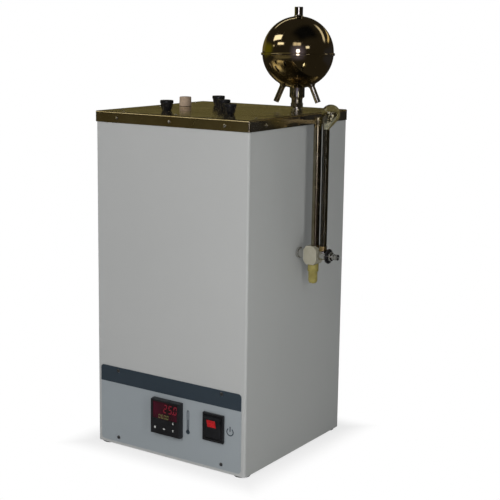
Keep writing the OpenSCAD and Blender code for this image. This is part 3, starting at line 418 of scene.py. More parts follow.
class Tree:
    """Adds nodes to a node tree and wires them."""

    def __init__(self, tree: bpy.types.NodeTree) -> None:
        """Starts on a tree, which is emptied first."""
        self.tree = tree
        tree.nodes.clear()

    def add(
        self, kind: str, settings: Optional[dict[str, object]] = None, **sockets: object
    ) -> bpy.types.Node:
        """Adds a node.

        Args:
            kind: The node's type, without the ShaderNode prefix.
            settings: Properties of the node itself.
            **sockets: Input values or links; a name such as in_0 means the input of that number.

        Returns:
            The new node.
        """
        prefix = "" if kind.startswith("NodeGroup") else "ShaderNode"
        node = self.tree.nodes.new(prefix + kind)
        for key, value in (settings or {}).items():
            setattr(node, key, value)
        for key, value in sockets.items():
            self.feed(node, key, value)
        return node

    def feed(self, node: bpy.types.Node, key: str, value: object) -> None:
        """Sets or links one input of a node.

        Args:
            node: The node.
            key: The input's name with underscores for spaces, or in_NUMBER.
            value: A value, or a socket to link from.
        """
        if key.startswith("in_"):
            socket = node.inputs[int(key[3:])]
        else:
            socket = node.inputs[key.replace("_", " ")]
        if isinstance(value, Socket):
            self.tree.links.new(value, socket)
        else:
            socket.default_value = value

    def math(self, operation: str, *values: Value, clamp: bool = False) -> Socket:
        """Adds a Math node.

        Args:
            operation: What the node does.
            *values: Its inputs in order.
            clamp: Whether the result is kept from 0 to 1.

        Returns:
            The result.
        """
        node = self.add("Math", {"operation": operation, "use_clamp": clamp})
        for i, value in enumerate(values):
            self.feed(node, f"in_{i}", value)
        return node.outputs[0]

    def span(
        self, value: Value, low: float, high: float, to_low: float = 0.0, to_high: float = 1.0
    ) -> Socket:
        """Adds a smooth Map Range node.

        Args:
            value: What is mapped.
            low: The value that gives to_low.
            high: The value that gives to_high.
            to_low: Result at low.
            to_high: Result at high.

        Returns:
            The result.
        """
        node = self.add("MapRange", {"interpolation_type": "SMOOTHSTEP"})
        for key, setting in zip(
            ("Value", "From_Min", "From_Max", "To_Min", "To_Max"), (value, low, high, to_low, to_high)
        ):
            self.feed(node, key, setting)
        return node.outputs["Result"]

    def blend(self, share: Value, first: Tint, second: Tint) -> Socket:
        """Mixes two colours.

        Args:
            share: How much of the second colour there is.
            first: The colour at 0.
            second: The colour at 1.

        Returns:
            The mixed colour.
        """
        node = self.add("Mix", {"data_type": "RGBA"})
        for index, value in ((0, share), (6, first), (7, second)):
            if isinstance(value, tuple) and len(value) == 3:
                value = (*value, 1.0)
            self.feed(node, f"in_{index}", value)
        return node.outputs[2]


class Effects:
    """Surface effects that several finishes share, each a node group that is built once."""

    @staticmethod
    def _start(
        name: str, inputs: Sequence[tuple[str, str, object]], outputs: Sequence[tuple[str, str]]
    ) -> tuple[Tree, bpy.types.Node, bpy.types.Node]:
        """Makes an empty group with its sockets.

        Args:
            name: Name of the group.
            inputs: (name, kind, default) of each input.
            outputs: (name, kind) of each output.

        Returns:
            The tree helper, the group's input node and its output node.
        """
        group = bpy.data.node_groups.new(name, "ShaderNodeTree")
        for label, kind, default in inputs:
            socket = group.interface.new_socket(label, in_out="INPUT", socket_type=f"NodeSocket{kind}")
            if default is not None:
                socket.default_value = default
        for label, kind in outputs:
            group.interface.new_socket(label, in_out="OUTPUT", socket_type=f"NodeSocket{kind}")
        tree = Tree(group)
        return tree, tree.add("NodeGroupInput"), tree.add("NodeGroupOutput")

    @classmethod
    @cache
    def grain(cls) -> bpy.types.NodeTree:
        """Fine even texture, such as powder coat or moulded plastic, with a slow change of tone.

        Returns:
            The node group.
        """
        tree, source, result = cls._start(
            "fine grain",
            [("Position", "Vector", None), ("Scale", "Float", 900.0), ("Slow Scale", "Float", 18.0)],
            [("Height", "Float"), ("Tone", "Float")],
        )
        place = source.outputs["Position"]
        fine = tree.add("TexNoise", Vector=place, Scale=source.outputs["Scale"], Detail=3.0, Roughness=0.55)
        pits = tree.add("TexVoronoi", {"feature": "SMOOTH_F1"}, Vector=place, Scale=source.outputs["Scale"])
        slow = tree.add("TexNoise", Vector=place, Scale=source.outputs["Slow Scale"], Detail=4.0)
        height = tree.math("ADD", tree.math("MULTIPLY", fine.outputs[0], 0.6), pits.outputs["Distance"])
        tree.feed(result, "Height", tree.math("MULTIPLY", height, 0.7))
        tree.feed(result, "Tone", tree.span(slow.outputs[0], 0.3, 0.7))
        return tree.tree

    @classmethod
    @cache
    def marks(cls) -> bpy.types.NodeTree:
        """Smudges from handling, with a few fine wiping lines.

        Returns:
            The node group.
        """
        tree, source, result = cls._start(
            "handling marks",
            [("Position", "Vector", None), ("Scale", "Float", 30.0), ("Lines", "Float", 220.0)],
            [("Smudge", "Float"), ("Lines", "Float")],
        )
        place = source.outputs["Position"]
        scale = source.outputs["Scale"]
        cloud = tree.add("TexNoise", Vector=place, Scale=scale, Detail=5.0, Distortion=1.2)
        tilt = tree.add("Mapping", Vector=place, Rotation=(0.3, 0.5, 0.7), Scale=(1.0, 0.05, 0.6))
        wipe = tree.add("TexNoise", Vector=tilt.outputs[0], Scale=source.outputs["Lines"], Detail=2.0)
        smudge = tree.span(cloud.outputs[0], 0.45, 0.72)
        tree.feed(result, "Smudge", smudge)
        tree.feed(result, "Lines", tree.math("MULTIPLY", tree.span(wipe.outputs[0], 0.6, 0.75), smudge))
        return tree.tree

    @classmethod
    @cache
    def drawn(cls) -> bpy.types.NodeTree:
        """Lines left by rolling, drawing or turning, long one way and fine the other.

        Returns:
            The node group.
        """
        tree, source, result = cls._start(
            "drawn lines",
            [("Position", "Vector", None), ("Stretch", "Vector", (1.0, 1.0, 1.0)),
             ("Scale", "Float", 400.0)],
            [("Height", "Float"), ("Tone", "Float")],
        )
        longer = tree.add("VectorMath", {"operation": "MULTIPLY"})
        tree.feed(longer, "in_0", source.outputs["Position"])
        tree.feed(longer, "in_1", source.outputs["Stretch"])
        fine = tree.add("TexNoise", Vector=longer.outputs[0], Scale=source.outputs["Scale"], Detail=4.0)
        coarse = tree.add(
            "TexNoise",
            Vector=longer.outputs[0],
            Scale=tree.math("MULTIPLY", source.outputs["Scale"], 0.17),
            Detail=2.0,
        )
        tree.feed(result, "Height", fine.outputs[0])
        tree.feed(result, "Tone", tree.span(coarse.outputs[0], 0.3, 0.7))
        return tree.tree

    @classmethod
    @cache
    def rubbed(cls) -> bpy.types.NodeTree:
        """Wear along the outer edges of a box-shaped part, broken up by noise.

        Returns:
            The node group.
        """
        tree, source, result = cls._start(
            "rubbed edges",
            [("Position", "Vector", None), ("Low", "Vector", None), ("High", "Vector", None),
             ("Reach", "Float", 0.002)],
            [("Mask", "Float")],
        )
        parts = [tree.add("SeparateXYZ", Vector=source.outputs[k]) for k in ("Position", "Low", "High")]
        gaps = []
        for i in range(3):
            here, low, high = (part.outputs[i] for part in parts)
            near = tree.math("MINIMUM", tree.math("SUBTRACT", here, low), tree.math("SUBTRACT", high, here))
            gaps.append(near)
        least = tree.math("MINIMUM", gaps[0], gaps[1])
        most = tree.math("MAXIMUM", gaps[0], gaps[1])
        second = tree.math("MAXIMUM", least, tree.math("MINIMUM", most, gaps[2]))
        patchy = tree.add("TexNoise", Vector=source.outputs["Position"], Scale=140.0, Detail=5.0)
        uneven = tree.span(patchy.outputs[0], 0.35, 0.7, 0.15, 1.6)
        reach = tree.math("MULTIPLY", source.outputs["Reach"], uneven)
        worn = tree.math("SUBTRACT", 1.0, tree.math("DIVIDE", second, reach), clamp=True)
        tree.feed(result, "Mask", worn)
        return tree.tree

    @classmethod
    @cache
    def dust(cls) -> bpy.types.NodeTree:
        """Thin dust that lies on faces that point up.

        Returns:
            The node group.
        """
        tree, source, result = cls._start(
            "settled dust", [("Position", "Vector", None), ("Amount", "Float", 0.1)], [("Mask", "Float")]
        )
        facing = tree.add("SeparateXYZ", Vector=tree.add("NewGeometry").outputs["Normal"])
        place = source.outputs["Position"]
        cloud = tree.add("TexNoise", Vector=place, Scale=60.0, Detail=8.0, Roughness=0.7)
        lying = tree.span(facing.outputs[2], 0.6, 0.98)
        patches = tree.span(cloud.outputs[0], 0.35, 0.75, 0.3, 1.0)
        mask = tree.math("MULTIPLY", tree.math("MULTIPLY", lying, patches), source.outputs["Amount"])
        tree.feed(result, "Mask", mask)
        return tree.tree


@dataclass(frozen=True)
class Finish:
    """A surface finish, made up as one node material.

    Lengths of bumps are in millimetres; scales are in cycles per metre of the noise they drive.
    """

    name: str
    base: Colour
    metallic: float = 0.0
    roughness: float = 0.5
    tone: Optional[Colour] = None
    tone_share: float = 0.3
    slow_scale: float = 18.0
    grain_scale: float = 900.0
    grain_depth: float = 0.0
    stretch: Optional[Colour] = None
    drawn_scale: float = 400.0
    drawn_depth: float = 0.0
    drawn_gloss: float = 0.0
    marks: float = 0.08
    marks_scale: float = 30.0
    rub_box: Optional[str] = None
    rub_reach: float = 1.5
    rub_colour: Colour = (0.7, 0.7, 0.7)
    rub_share: float = 0.5
    dust: float = 0.0
    dust_colour: Colour = (0.42, 0.39, 0.34)
    specular: float = 0.5
    ior: float = 1.45
    coat: float = 0.0
    coat_roughness: float = 0.1
    sheen: float = 0.0
    transmission: float = 0.0
    glow: Optional[Colour] = None
    glow_strength: float = 0.0

    def make(self) -> bpy.types.Material:
        """Builds the material.

        Returns:
            A new material, ready to be put on a piece.
        """
        material = bpy.data.materials.new(self.name)
        material.use_nodes = True
        tree = Tree(material.node_tree)
        place = tree.add("TexCoord").outputs["Object"]
        shader = tree.add("BsdfPrincipled")
        self._plain_sockets(shader)
        colour, height, gloss = self._grain(tree, place)
        height, gloss = self._lines(tree, place, height, gloss)
        gloss = self._handled(tree, place, gloss)
        colour, gloss = self._worn(tree, place, colour, gloss)
        tree.feed(shader, "Base_Color", colour)
        tree.feed(shader, "Roughness", gloss)
        if height is not None:
            bump = tree.add("Bump", Height=height, Strength=1.0, Distance=MM)
            tree.feed(shader, "Normal", bump.outputs[0])
        self.extra(tree, shader, place)
        output = tree.add("OutputMaterial")
        tree.feed(output, "Surface", shader.outputs[0])
        return material

    def _plain_sockets(self, shader: bpy.types.Node) -> None:
        """Sets the values that are the same all over the surface.

        Args:
            shader: The finish's main node.
        """
        plain = {
            "Metallic": self.metallic, "Specular IOR Level": self.specular, "IOR": self.ior,
            "Coat Weight": self.coat, "Coat Roughness": self.coat_roughness, "Sheen Weight": self.sheen,
            "Transmission Weight": self.transmission,
        }
        for key, value in plain.items():
            shader.inputs[key].default_value = value
        if self.glow is not None:
            shader.inputs["Emission Color"].default_value = (*self.glow, 1.0)
            shader.inputs["Emission Strength"].default_value = self.glow_strength

    def _grain(self, tree: Tree, place: Socket) -> tuple[Socket, Optional[Socket], Value]:
        """Adds the grain.

        Args:
            tree: The material's tree.
            place: The piece's own coordinates.

        Returns:
            Colour, bump height in millimetres where there is one, and roughness.
        """
        grain = tree.add("Group", {"node_tree": Effects.grain()}, Position=place, Scale=self.grain_scale)
        tree.feed(grain, "Slow_Scale", self.slow_scale)
        tone = self.tone or tuple(c * 0.86 for c in self.base)
        share = tree.math("MULTIPLY", grain.outputs["Tone"], self.tone_share)
        colour = tree.blend(share, self.base, tone)
        height = None
        if self.grain_depth:
            height = tree.math("MULTIPLY", grain.outputs["Height"], self.grain_depth)
        return colour, height, self.roughness

    def _lines(
        self, tree: Tree, place: Socket, height: Optional[Socket], gloss: Value
    ) -> tuple[Optional[Socket], Value]:
        """Adds drawn lines, where the finish has them.

        Args:
            tree: The material's tree.
            place: The piece's own coordinates.
            height: Bump height so far.
            gloss: Roughness so far.

        Returns:
            The new height and roughness.
        """
        if self.stretch is None:
            return height, gloss
        lines = tree.add("Group", {"node_tree": Effects.drawn()}, Position=place, Scale=self.drawn_scale)
        lines.inputs["Stretch"].default_value = self.stretch
        relief = tree.math("MULTIPLY", lines.outputs["Height"], self.drawn_depth)
        height = relief if height is None else tree.math("ADD", height, relief)
        gloss = tree.math("ADD", gloss, tree.math("MULTIPLY", lines.outputs["Tone"], self.drawn_gloss))
        return height, gloss

    def _handled(self, tree: Tree, place: Socket, gloss: Value) -> Socket:
        """Adds handling marks.

        Args:
            tree: The material's tree.
            place: The piece's own coordinates.
            gloss: Roughness so far.

        Returns:
            The new roughness.
        """
        marks = tree.add("Group", {"node_tree": Effects.marks()}, Position=place, Scale=self.marks_scale)
        both = tree.math("ADD", marks.outputs["Smudge"], marks.outputs["Lines"])
        return tree.math("ADD", gloss, tree.math("MULTIPLY", both, self.marks), clamp=True)

    def _worn(self, tree: Tree, place: Socket, colour: Socket, gloss: Socket) -> tuple[Socket, Socket]:
        """Adds rubbed edges and dust.

        Args:
            tree: The material's tree.
            place: The piece's own coordinates.
            colour: Colour so far.
            gloss: Roughness so far.

        Returns:
            The new colour and roughness.
        """
        if self.rub_box is not None:
            low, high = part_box(self.rub_box)
            reach = self.rub_reach * MM
            rub = tree.add("Group", {"node_tree": Effects.rubbed()}, Position=place, Reach=reach)
            rub.inputs["Low"].default_value = low
            rub.inputs["High"].default_value = high
            share = tree.math("MULTIPLY", rub.outputs[0], self.rub_share)
            colour = tree.blend(share, colour, self.rub_colour)
        if self.dust:
            dust = tree.add("Group", {"node_tree": Effects.dust()}, Position=place, Amount=self.dust)
            colour = tree.blend(dust.outputs[0], colour, self.dust_colour)
            gloss = tree.math("ADD", gloss, tree.math("MULTIPLY", dust.outputs[0], 0.5), clamp=True)
        return colour, gloss

    def extra(self, tree: Tree, shader: bpy.types.Node, place: Socket) -> None:
        """Room for a finish that needs more than the shared effects.

        Args:
            tree: The material's tree.
            shader: The finish's main node.
            place: The piece's own coordinates.
        """


@dataclass(frozen=True)
class Spangled(Finish):
    """Zinc plate, whose crystals differ in tone."""

    cell_scale: float = 130.0

    def extra(self, tree: Tree, shader: bpy.types.Node, place: Socket) -> None:
        """Lays the crystals over the base colour.

        Args:
            tree: The material's tree.
            shader: The finish's main node.
            place: The piece's own coordinates.
        """
        cells = tree.add("TexVoronoi", Vector=place, Scale=self.cell_scale)
        tone = tree.add("SeparateColor", Color=cells.outputs["Color"])
        dark = tuple(c * 0.7 for c in self.base)
        tree.feed(shader, "Base_Color", tree.blend(tone.outputs[0], dark, self.base))


@dataclass(frozen=True)
class Fibrous(Finish):
    """Mineral wool board: short fibres that lie all ways."""

    fibre_scale: float = 260.0

    def extra(self, tree: Tree, shader: bpy.types.Node, place: Socket) -> None:
        """Adds two crossed layers of fibres to the height and the colour.

        Args:
            tree: The material's tree.
            shader: The finish's main node.
            place: The piece's own coordinates.
        """
        layers = []
        for turn, stretch in (((0.4, 0.2, 0.9), (1.0, 0.12, 1.0)), ((1.2, 0.8, 0.1), (0.12, 1.0, 1.0))):
            tilt = tree.add("Mapping", Vector=place, Rotation=turn, Scale=stretch)
            layers.append(tree.add("TexNoise", Vector=tilt.outputs[0], Scale=self.fibre_scale, Detail=4.0))
        fibres = tree.math("MAXIMUM", layers[0].outputs[0], layers[1].outputs[0])
        tree.feed(shader, "Base_Color", tree.blend(tree.span(fibres, 0.4, 0.75), self.tone, self.base))
        bump = tree.add("Bump", Height=fibres, Strength=1.0, Distance=1.2 * MM)
        tree.feed(shader, "Normal", bump.outputs[0])


@dataclass(frozen=True)
class HeatTinted(Finish):
    """Heater sheath with straw and blue bands from use."""

    straw: Colour = (0.46, 0.30, 0.12)
    blue: Colour = (0.10, 0.12, 0.24)

    def extra(self, tree: Tree, shader: bpy.types.Node, place: Socket) -> None:
        """Blends straw and blue patches over the steel.

        Args:
            tree: The material's tree.
            shader: The finish's main node.
            place: The piece's own coordinates.
        """
        cloud = tree.add("TexNoise", Vector=place, Scale=14.0, Detail=3.0, Distortion=0.6)
        warm = tree.blend(tree.span(cloud.outputs[0], 0.35, 0.6), self.base, self.straw)
        both = tree.blend(tree.span(cloud.outputs[0], 0.58, 0.7), warm, self.blue)
        tree.feed(shader, "Base_Color", both)


class Stock:
    """All finishes on the object, by the name of the record's material slot."""

    PLAIN = {
        "paint": Finish(
            "powder coat", (0.46, 0.475, 0.465), roughness=0.46, tone=(0.44, 0.457, 0.447),
            tone_share=0.5, slow_scale=7.0, grain_scale=1300.0, grain_depth=0.012, marks=0.06,
            marks_scale=9.0, rub_box="cabinet_shell", rub_reach=1.2, rub_colour=(0.56, 0.58, 0.57),
            rub_share=0.5, specular=0.4,
        ),
        "lid_steel": Finish(
            "polished lid sheet", (0.62, 0.56, 0.40), metallic=1.0, roughness=0.19,
            tone=(0.44, 0.36, 0.19), slow_scale=13.0, tone_share=0.9, stretch=(1.0, 0.03, 1.0),
            drawn_scale=700.0, drawn_depth=0.0005, drawn_gloss=0.04, marks=0.05, marks_scale=22.0,
            rub_box="lid_pan", rub_reach=1.0, rub_colour=(0.78, 0.72, 0.58), rub_share=0.5,
        ),
        "ball_steel": Finish(
            "polished ball", (0.60, 0.52, 0.38), metallic=1.0, roughness=0.06, tone=(0.55, 0.45, 0.28),
            slow_scale=14.0, stretch=(0.05, 0.05, 1.0), drawn_scale=900.0, drawn_depth=0.0008,
            drawn_gloss=0.03, marks=0.06, marks_scale=40.0,
        ),
        "bright_steel": Finish(
            "bright fittings", (0.60, 0.59, 0.56), metallic=1.0, roughness=0.12,
            stretch=(1.0, 0.08, 0.08), drawn_scale=900.0, drawn_depth=0.0015, drawn_gloss=0.08,
            marks=0.10, marks_scale=80.0,
        ),
        "neck_steel": Finish(
            "neck steel", (0.50, 0.485, 0.46), metallic=1.0, roughness=0.07, tone=(0.40, 0.37, 0.32),
            stretch=(0.05, 0.05, 1.0), drawn_scale=900.0, drawn_depth=0.0008, drawn_gloss=0.05,
            marks=0.06, marks_scale=60.0,
        ),
        # Same polished steel as the bright fittings, with its base colour darkened and browned: a painted
        # dark reflection of the room, used on the standpipe and the pipe clip
        "painted_dark_steel": Finish(
            "steel with painted dark reflection", (0.30, 0.265, 0.19), metallic=1.0, roughness=0.15, tone=(0.21, 0.18, 0.11),
            tone_share=0.9, slow_scale=60.0, stretch=(1.0, 1.0, 0.05), drawn_scale=900.0,
            drawn_depth=0.001, drawn_gloss=0.06, marks=0.14, marks_scale=60.0,
        ),
        "bath_oil": Finish(
            "dark bath oil", (0.012, 0.009, 0.005), roughness=0.12, tone=(0.022, 0.015, 0.006),
            slow_scale=30.0, marks=0.02,
        ),
        "dark_key": Finish(
            "dark key cap", (0.016, 0.018, 0.018), roughness=0.42, slow_scale=200.0, grain_scale=1800.0,
            grain_depth=0.01, marks=0.12, marks_scale=150.0,
        ),
        "screw_steel": Finish(
            "plated screw", (0.88, 0.86, 0.80), metallic=1.0, roughness=0.2, marks=0.15,
            marks_scale=200.0,
        ),
        "dark_screw": Finish(
            "dark screw", (0.13, 0.135, 0.14), metallic=0.8, roughness=0.3, marks=0.15, marks_scale=200.0,
        ),
        "inner_steel": Finish(
            "brushed tank sheet", (0.62, 0.61, 0.59), metallic=1.0, roughness=0.30,
            stretch=(0.03, 1.0, 1.0), drawn_scale=600.0, drawn_depth=0.004, drawn_gloss=0.12, marks=0.12,
        ),
        "zinc_sheet": Spangled(
            "zinc plated sheet", (0.58, 0.59, 0.60), metallic=0.9, roughness=0.38, marks=0.12,
            grain_scale=500.0, grain_depth=0.006,
        ),
        "brass": Finish(
            "turned brass", (0.66, 0.50, 0.24), metallic=1.0, roughness=0.24, tone=(0.50, 0.34, 0.14),
            tone_share=0.6, slow_scale=90.0, stretch=(0.1, 0.1, 1.0), drawn_scale=1500.0,
            drawn_depth=0.004, drawn_gloss=0.12,
        ),
        "black_rubber": Finish(
            "black stopper", (0.010, 0.010, 0.011), roughness=0.21, tone=(0.022, 0.022, 0.024),
            tone_share=0.7, slow_scale=120.0, grain_scale=1600.0, grain_depth=0.02, marks=0.2,
            marks_scale=120.0, dust=0.10,
        ),
        "pale_stopper": Finish(
            "pale stopper", (0.60, 0.47, 0.34), roughness=0.55, tone=(0.44, 0.33, 0.24), tone_share=0.9,
            slow_scale=170.0, grain_scale=900.0, grain_depth=0.05, marks=0.15, marks_scale=90.0,
        ),
        "foot_rubber": Finish(
            "foot pad", (0.02, 0.02, 0.02), roughness=0.7, grain_scale=1200.0, grain_depth=0.04, dust=0.1,
        ),
        "gasket": Finish(
            "gasket", (0.015, 0.015, 0.015), roughness=0.65, grain_scale=1500.0, grain_depth=0.03,
        ),
        "wool": Fibrous(
            "mineral wool", (0.62, 0.55, 0.30), roughness=0.9, tone=(0.36, 0.29, 0.12), sheen=0.1,
        ),
        "header_foil": Finish(
            "dark header foil", (0.030, 0.045, 0.060), roughness=0.42, tone=(0.038, 0.054, 0.070),
            slow_scale=9.0, grain_scale=2200.0, grain_depth=0.006, marks=0.1, marks_scale=14.0,
        ),
        "panel_plate": Finish(
            "panel foil", (0.32, 0.36, 0.377), roughness=0.44, tone=(0.30, 0.336, 0.357), tone_share=0.5,
            slow_scale=8.0, grain_scale=2200.0, grain_depth=0.006, marks=0.1, marks_scale=14.0,
            rub_box="control_panel", rub_reach=0.8, rub_colour=(0.42, 0.46, 0.48), rub_share=0.4,
        ),
        "black_plastic": Finish(
            "moulded black", (0.012, 0.013, 0.015), roughness=0.36, tone=(0.020, 0.021, 0.024),
            tone_share=0.6, slow_scale=60.0, grain_scale=1900.0, grain_depth=0.012, marks=0.14,
            marks_scale=70.0,
        ),
        "window": Finish(
            "smoked window", (0.018, 0.010, 0.011), roughness=0.12, tone=(0.070, 0.008, 0.020),
            tone_share=1.0, coat=0.2, marks=0.08, marks_scale=60.0, slow_scale=34.0,
        ),
        "red_digits": Finish(
            "red digits", (0.13, 0.010, 0.022), roughness=0.4, tone=(0.10, 0.008, 0.015),
            slow_scale=200.0, glow=(1.0, 0.03, 0.07), glow_strength=0.06,
        ),
        "green_digits": Finish(
            "green digits", (0.10, 0.12, 0.04), roughness=0.4, tone=(0.07, 0.09, 0.03), slow_scale=200.0,
            glow=(0.55, 0.62, 0.22), glow_strength=0.07,
        ),
        "key_rubber": Finish(
            "pale key", (0.52, 0.54, 0.52), roughness=0.5, slow_scale=200.0, grain_scale=1800.0,
            grain_depth=0.01, marks=0.1, marks_scale=150.0,
        ),
        "lens": Finish(
            "glowing lens", (0.22, 0.006, 0.010), roughness=0.25, tone=(0.40, 0.016, 0.018),
            slow_scale=160.0, tone_share=1.0, glow=(1.0, 0.03, 0.035), glow_strength=0.14, coat=0.15,
        ),
        "block_plastic": Finish(
            "moulded valve body", (0.37, 0.355, 0.28), roughness=0.38, tone=(0.28, 0.27, 0.20),
            tone_share=0.5, slow_scale=70.0, grain_scale=900.0, grain_depth=0.02, marks=0.15,
            marks_scale=90.0, rub_box="drain_block", rub_reach=1.0, rub_colour=(0.55, 0.53, 0.44),
            rub_share=0.6, dust=0.06,
        ),
        "nozzle_plastic": Finish(
            "amber nozzle", (0.32, 0.28, 0.085), roughness=0.3, tone=(0.19, 0.16, 0.045), tone_share=0.8,
            slow_scale=120.0, grain_scale=900.0, grain_depth=0.015, marks=0.15, marks_scale=90.0,
        ),
        "glass": Finish(
            "gauge glass", (0.86, 0.84, 0.72), roughness=0.02, transmission=1.0, ior=1.47, marks=0.05,
            marks_scale=60.0, tone_share=0.2, slow_scale=40.0,
        ),
        "heater_steel": HeatTinted(
            "heater sheath", (0.36, 0.33, 0.30), metallic=1.0, roughness=0.35, stretch=(1.0, 0.1, 1.0),
            drawn_depth=0.003, drawn_gloss=0.1,
        ),
        "terminal_plastic": Finish(
            "terminal block", (0.70, 0.67, 0.57), roughness=0.5, grain_scale=1400.0, grain_depth=0.02,
        ),
    }

    @classmethod
    @cache
    def get(cls, slot: str) -> bpy.types.Material:
        """Gives the material of a slot, built when it is first asked for."""
        return cls.PLAIN[slot].make()


def fit(piece: Piece, body: str, slot: str, *nodes: str, finish: str = "") -> Piece:
    """Dresses a piece and fixes it to its body.

    Args:
        piece: The finished piece.
        body: The CAD body that it rides on.
        slot: The record's material slot.
        *nodes: CAD nodes that it stands for.
        finish: A finish in stock other than the slot's own.

    Returns:
        The same piece.
    """
    piece.data.materials.clear()
    piece.data.materials.append(Stock.get(finish or slot))
    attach(piece, body)
    if nodes:
        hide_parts(*nodes)
    LOG.info("%s rides on %s, %d faces", piece.name, body, len(piece.data.polygons))
    return piece


def dress(
    node: str,
    name: str,
    ease: float,
    slot: str,
    body: str = "cabinet",
    segments: int = 3,
    limit: float = 32.0,
    finish: str = "",
) -> Piece:
    """Softens a CAD node's edges and fixes the new piece to its body.

    Args:
        node: The CAD node, which the piece stands for.
        name: Name of the new piece.
        ease: Width of the rounded edges.
        slot: The record's material slot.
        body: The CAD body that it rides on.
        segments: Steps across a rounded edge.
        limit: Edges sharper than this, in degrees, are rounded.
        finish: A finish in stock other than the slot's own.

    Returns:
        The new piece.
    """
    piece = Bench.softened(node, name, ease, segments, limit)
    return fit(piece, body, slot, node, finish=finish)


class Screws:
    """Domed screws with a cross recess, modelled once for each size."""

    TURN = 1.1

    def __init__(self, head: float, dome: float, shank: float, length: float) -> None:
        """Turns the head and cuts the recess.

        Args:
            head: Diameter of the head.
            dome: Height of the head.
            shank: Diameter of the shank.
            length: Length of the shank under the head.
        """
        r = head / 2
        profile = [(0, dome), (r * 0.35, dome * 0.96), (r * 0.68, dome * 0.78), (r * 0.9, dome * 0.45)]
        profile += [(r, dome * 0.12), (r, 0), (shank / 2, 0), (shank / 2, -length), (0, -length)]
        self.master = Bench.turned("screw_master", profile, Matrix.Identity(4), Size.SMALL, angle=50)
        for turn in (0.35, 0.35 + math.pi / 2):
            Bench.clear()
            bpy.ops.mesh.primitive_cube_add(size=1.0, location=(0, 0, 0))
            tool = bpy.context.object
            tool.scale = (head * 0.62 * MM, head * 0.13 * MM, dome * 0.9 * MM)
            bpy.ops.object.transform_apply(location=False, rotation=False, scale=True)
            Bench.place(tool, Matrix.Translation((0, 0, dome * MM)) @ Matrix.Rotation(turn, 4, "Z"))
            Bench.cut(self.master, tool)
        Bench.smooth(self.master, 40)

    def drive(
        self, node: str, name: str, slot: str, places: Sequence[tuple[Point, Axis]], finish: str = ""
    ) -> None:
        """Drives a screw at each place, each head turned its own way.

        Args:
            node: The CAD node, which the screws stand for.
            name: Name of the row of screws.
            slot: The record's material slot.
            places: Where each head sits and which way it faces.
            finish: A finish in stock other than the slot's own.
        """
        matrices = [
            pose_at(point, axis) @ Matrix.Rotation(self.TURN * i, 4, "Z")
            for i, (point, axis) in enumerate(places)
        ]
        fit(Bench.copies(self.master, name, matrices), "cabinet", slot, node, finish=finish)


@dataclass
class Cabinet:
    """Painted sheet cabinet with its back cover, feet and rear screws."""

    edge: float = 0.5
    rear_x: float = 110.95
    rear_shares: tuple[float, ...] = (0.04, 0.35, 0.66, 0.95)
    low_z: float = 2.0
    high_z: float = 461.3
    foot_r: float = 11.0
    foot_h: float = 2.0

    def build(self) -> None:
        """Builds and fixes the outer sheets."""
        dress("cabinet_shell", "cabinet_sheet", self.edge, "paint")
        dress("back_panel", "back_cover", 0.25, "paint", segments=2)
        dress("mains_inlet", "power_inlet", 0.5, "black_plastic", segments=2)
        places = [
            ((side * self.rear_x, -FRONT_Y, self.low_z + share * (self.high_z - self.low_z)), Axis.BACK)
            for side in (-1, 1)
            for share in self.rear_shares
        ]
        screws = Screws(head=5.0, dome=1.4, shank=2.5, length=2.2)
        screws.drive("rear_screws", "back_cover_screws", "bright_steel", places)
        self.feet()

    def feet(self) -> None:
        """Turns the four rubber feet, each with a recess below."""
        profile = eased(
            [(0, 0.8), (3.6, 0.8), (4.0, 0, 0.3), (self.foot_r, 0, 0.4), (self.foot_r, self.foot_h, 0.4),
             (0, self.foot_h)]
        )
        master = Bench.turned("foot_master", profile, Matrix.Identity(4), Size.MEDIUM)
        low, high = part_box("foot_pads")
        inset = self.foot_r * MM
        corners = [
            Matrix.Translation((x, y, 0))
            for x in (low.x + inset, high.x - inset)
            for y in (low.y + inset, high.y - inset)
        ]
        fit(Bench.copies(master, "rubber_feet", corners), "cabinet", "foot_rubber", "foot_pads")


@dataclass
class Lid:
    """Polished lid pan with its two rows of screws and the port sleeves."""

    edge: float = 0.4
    top_row: float = 109.0
    screw_finish: str = "screw_steel"

    def build(self) -> None:
        """Builds and fixes the lid."""
        dress("lid_pan", "lid_cover", self.edge, "lid_steel")
        places: list[tuple[Point, Axis]] = []
        for p in SCREW_ROW:
            places += [
                ((SKIRT_HALF, p, SKIRT_SCREW_Z), Axis.RIGHT),
                ((-SKIRT_HALF, p, SKIRT_SCREW_Z), Axis.LEFT),
                ((p, SKIRT_HALF, SKIRT_SCREW_Z), Axis.BACK),
                ((p, -SKIRT_HALF, SKIRT_SCREW_Z), Axis.FRONT),
            ]
        side = Screws(head=4.6, dome=1.2, shank=2.6, length=2.4)
        side.drive("skirt_screws", "lid_side_screws", "bright_steel", places, self.screw_finish)
        places = []
        for p in SCREW_ROW:
            for s in (-1, 1):
                places += [((p, s * self.top_row, LID_Z), Axis.UP), ((s * self.top_row, p, LID_Z), Axis.UP)]
        top = Screws(head=3.8, dome=0.8, shank=2.6, length=2.4)
        top.drive("top_screws", "lid_top_screws", "bright_steel", places, self.screw_finish)


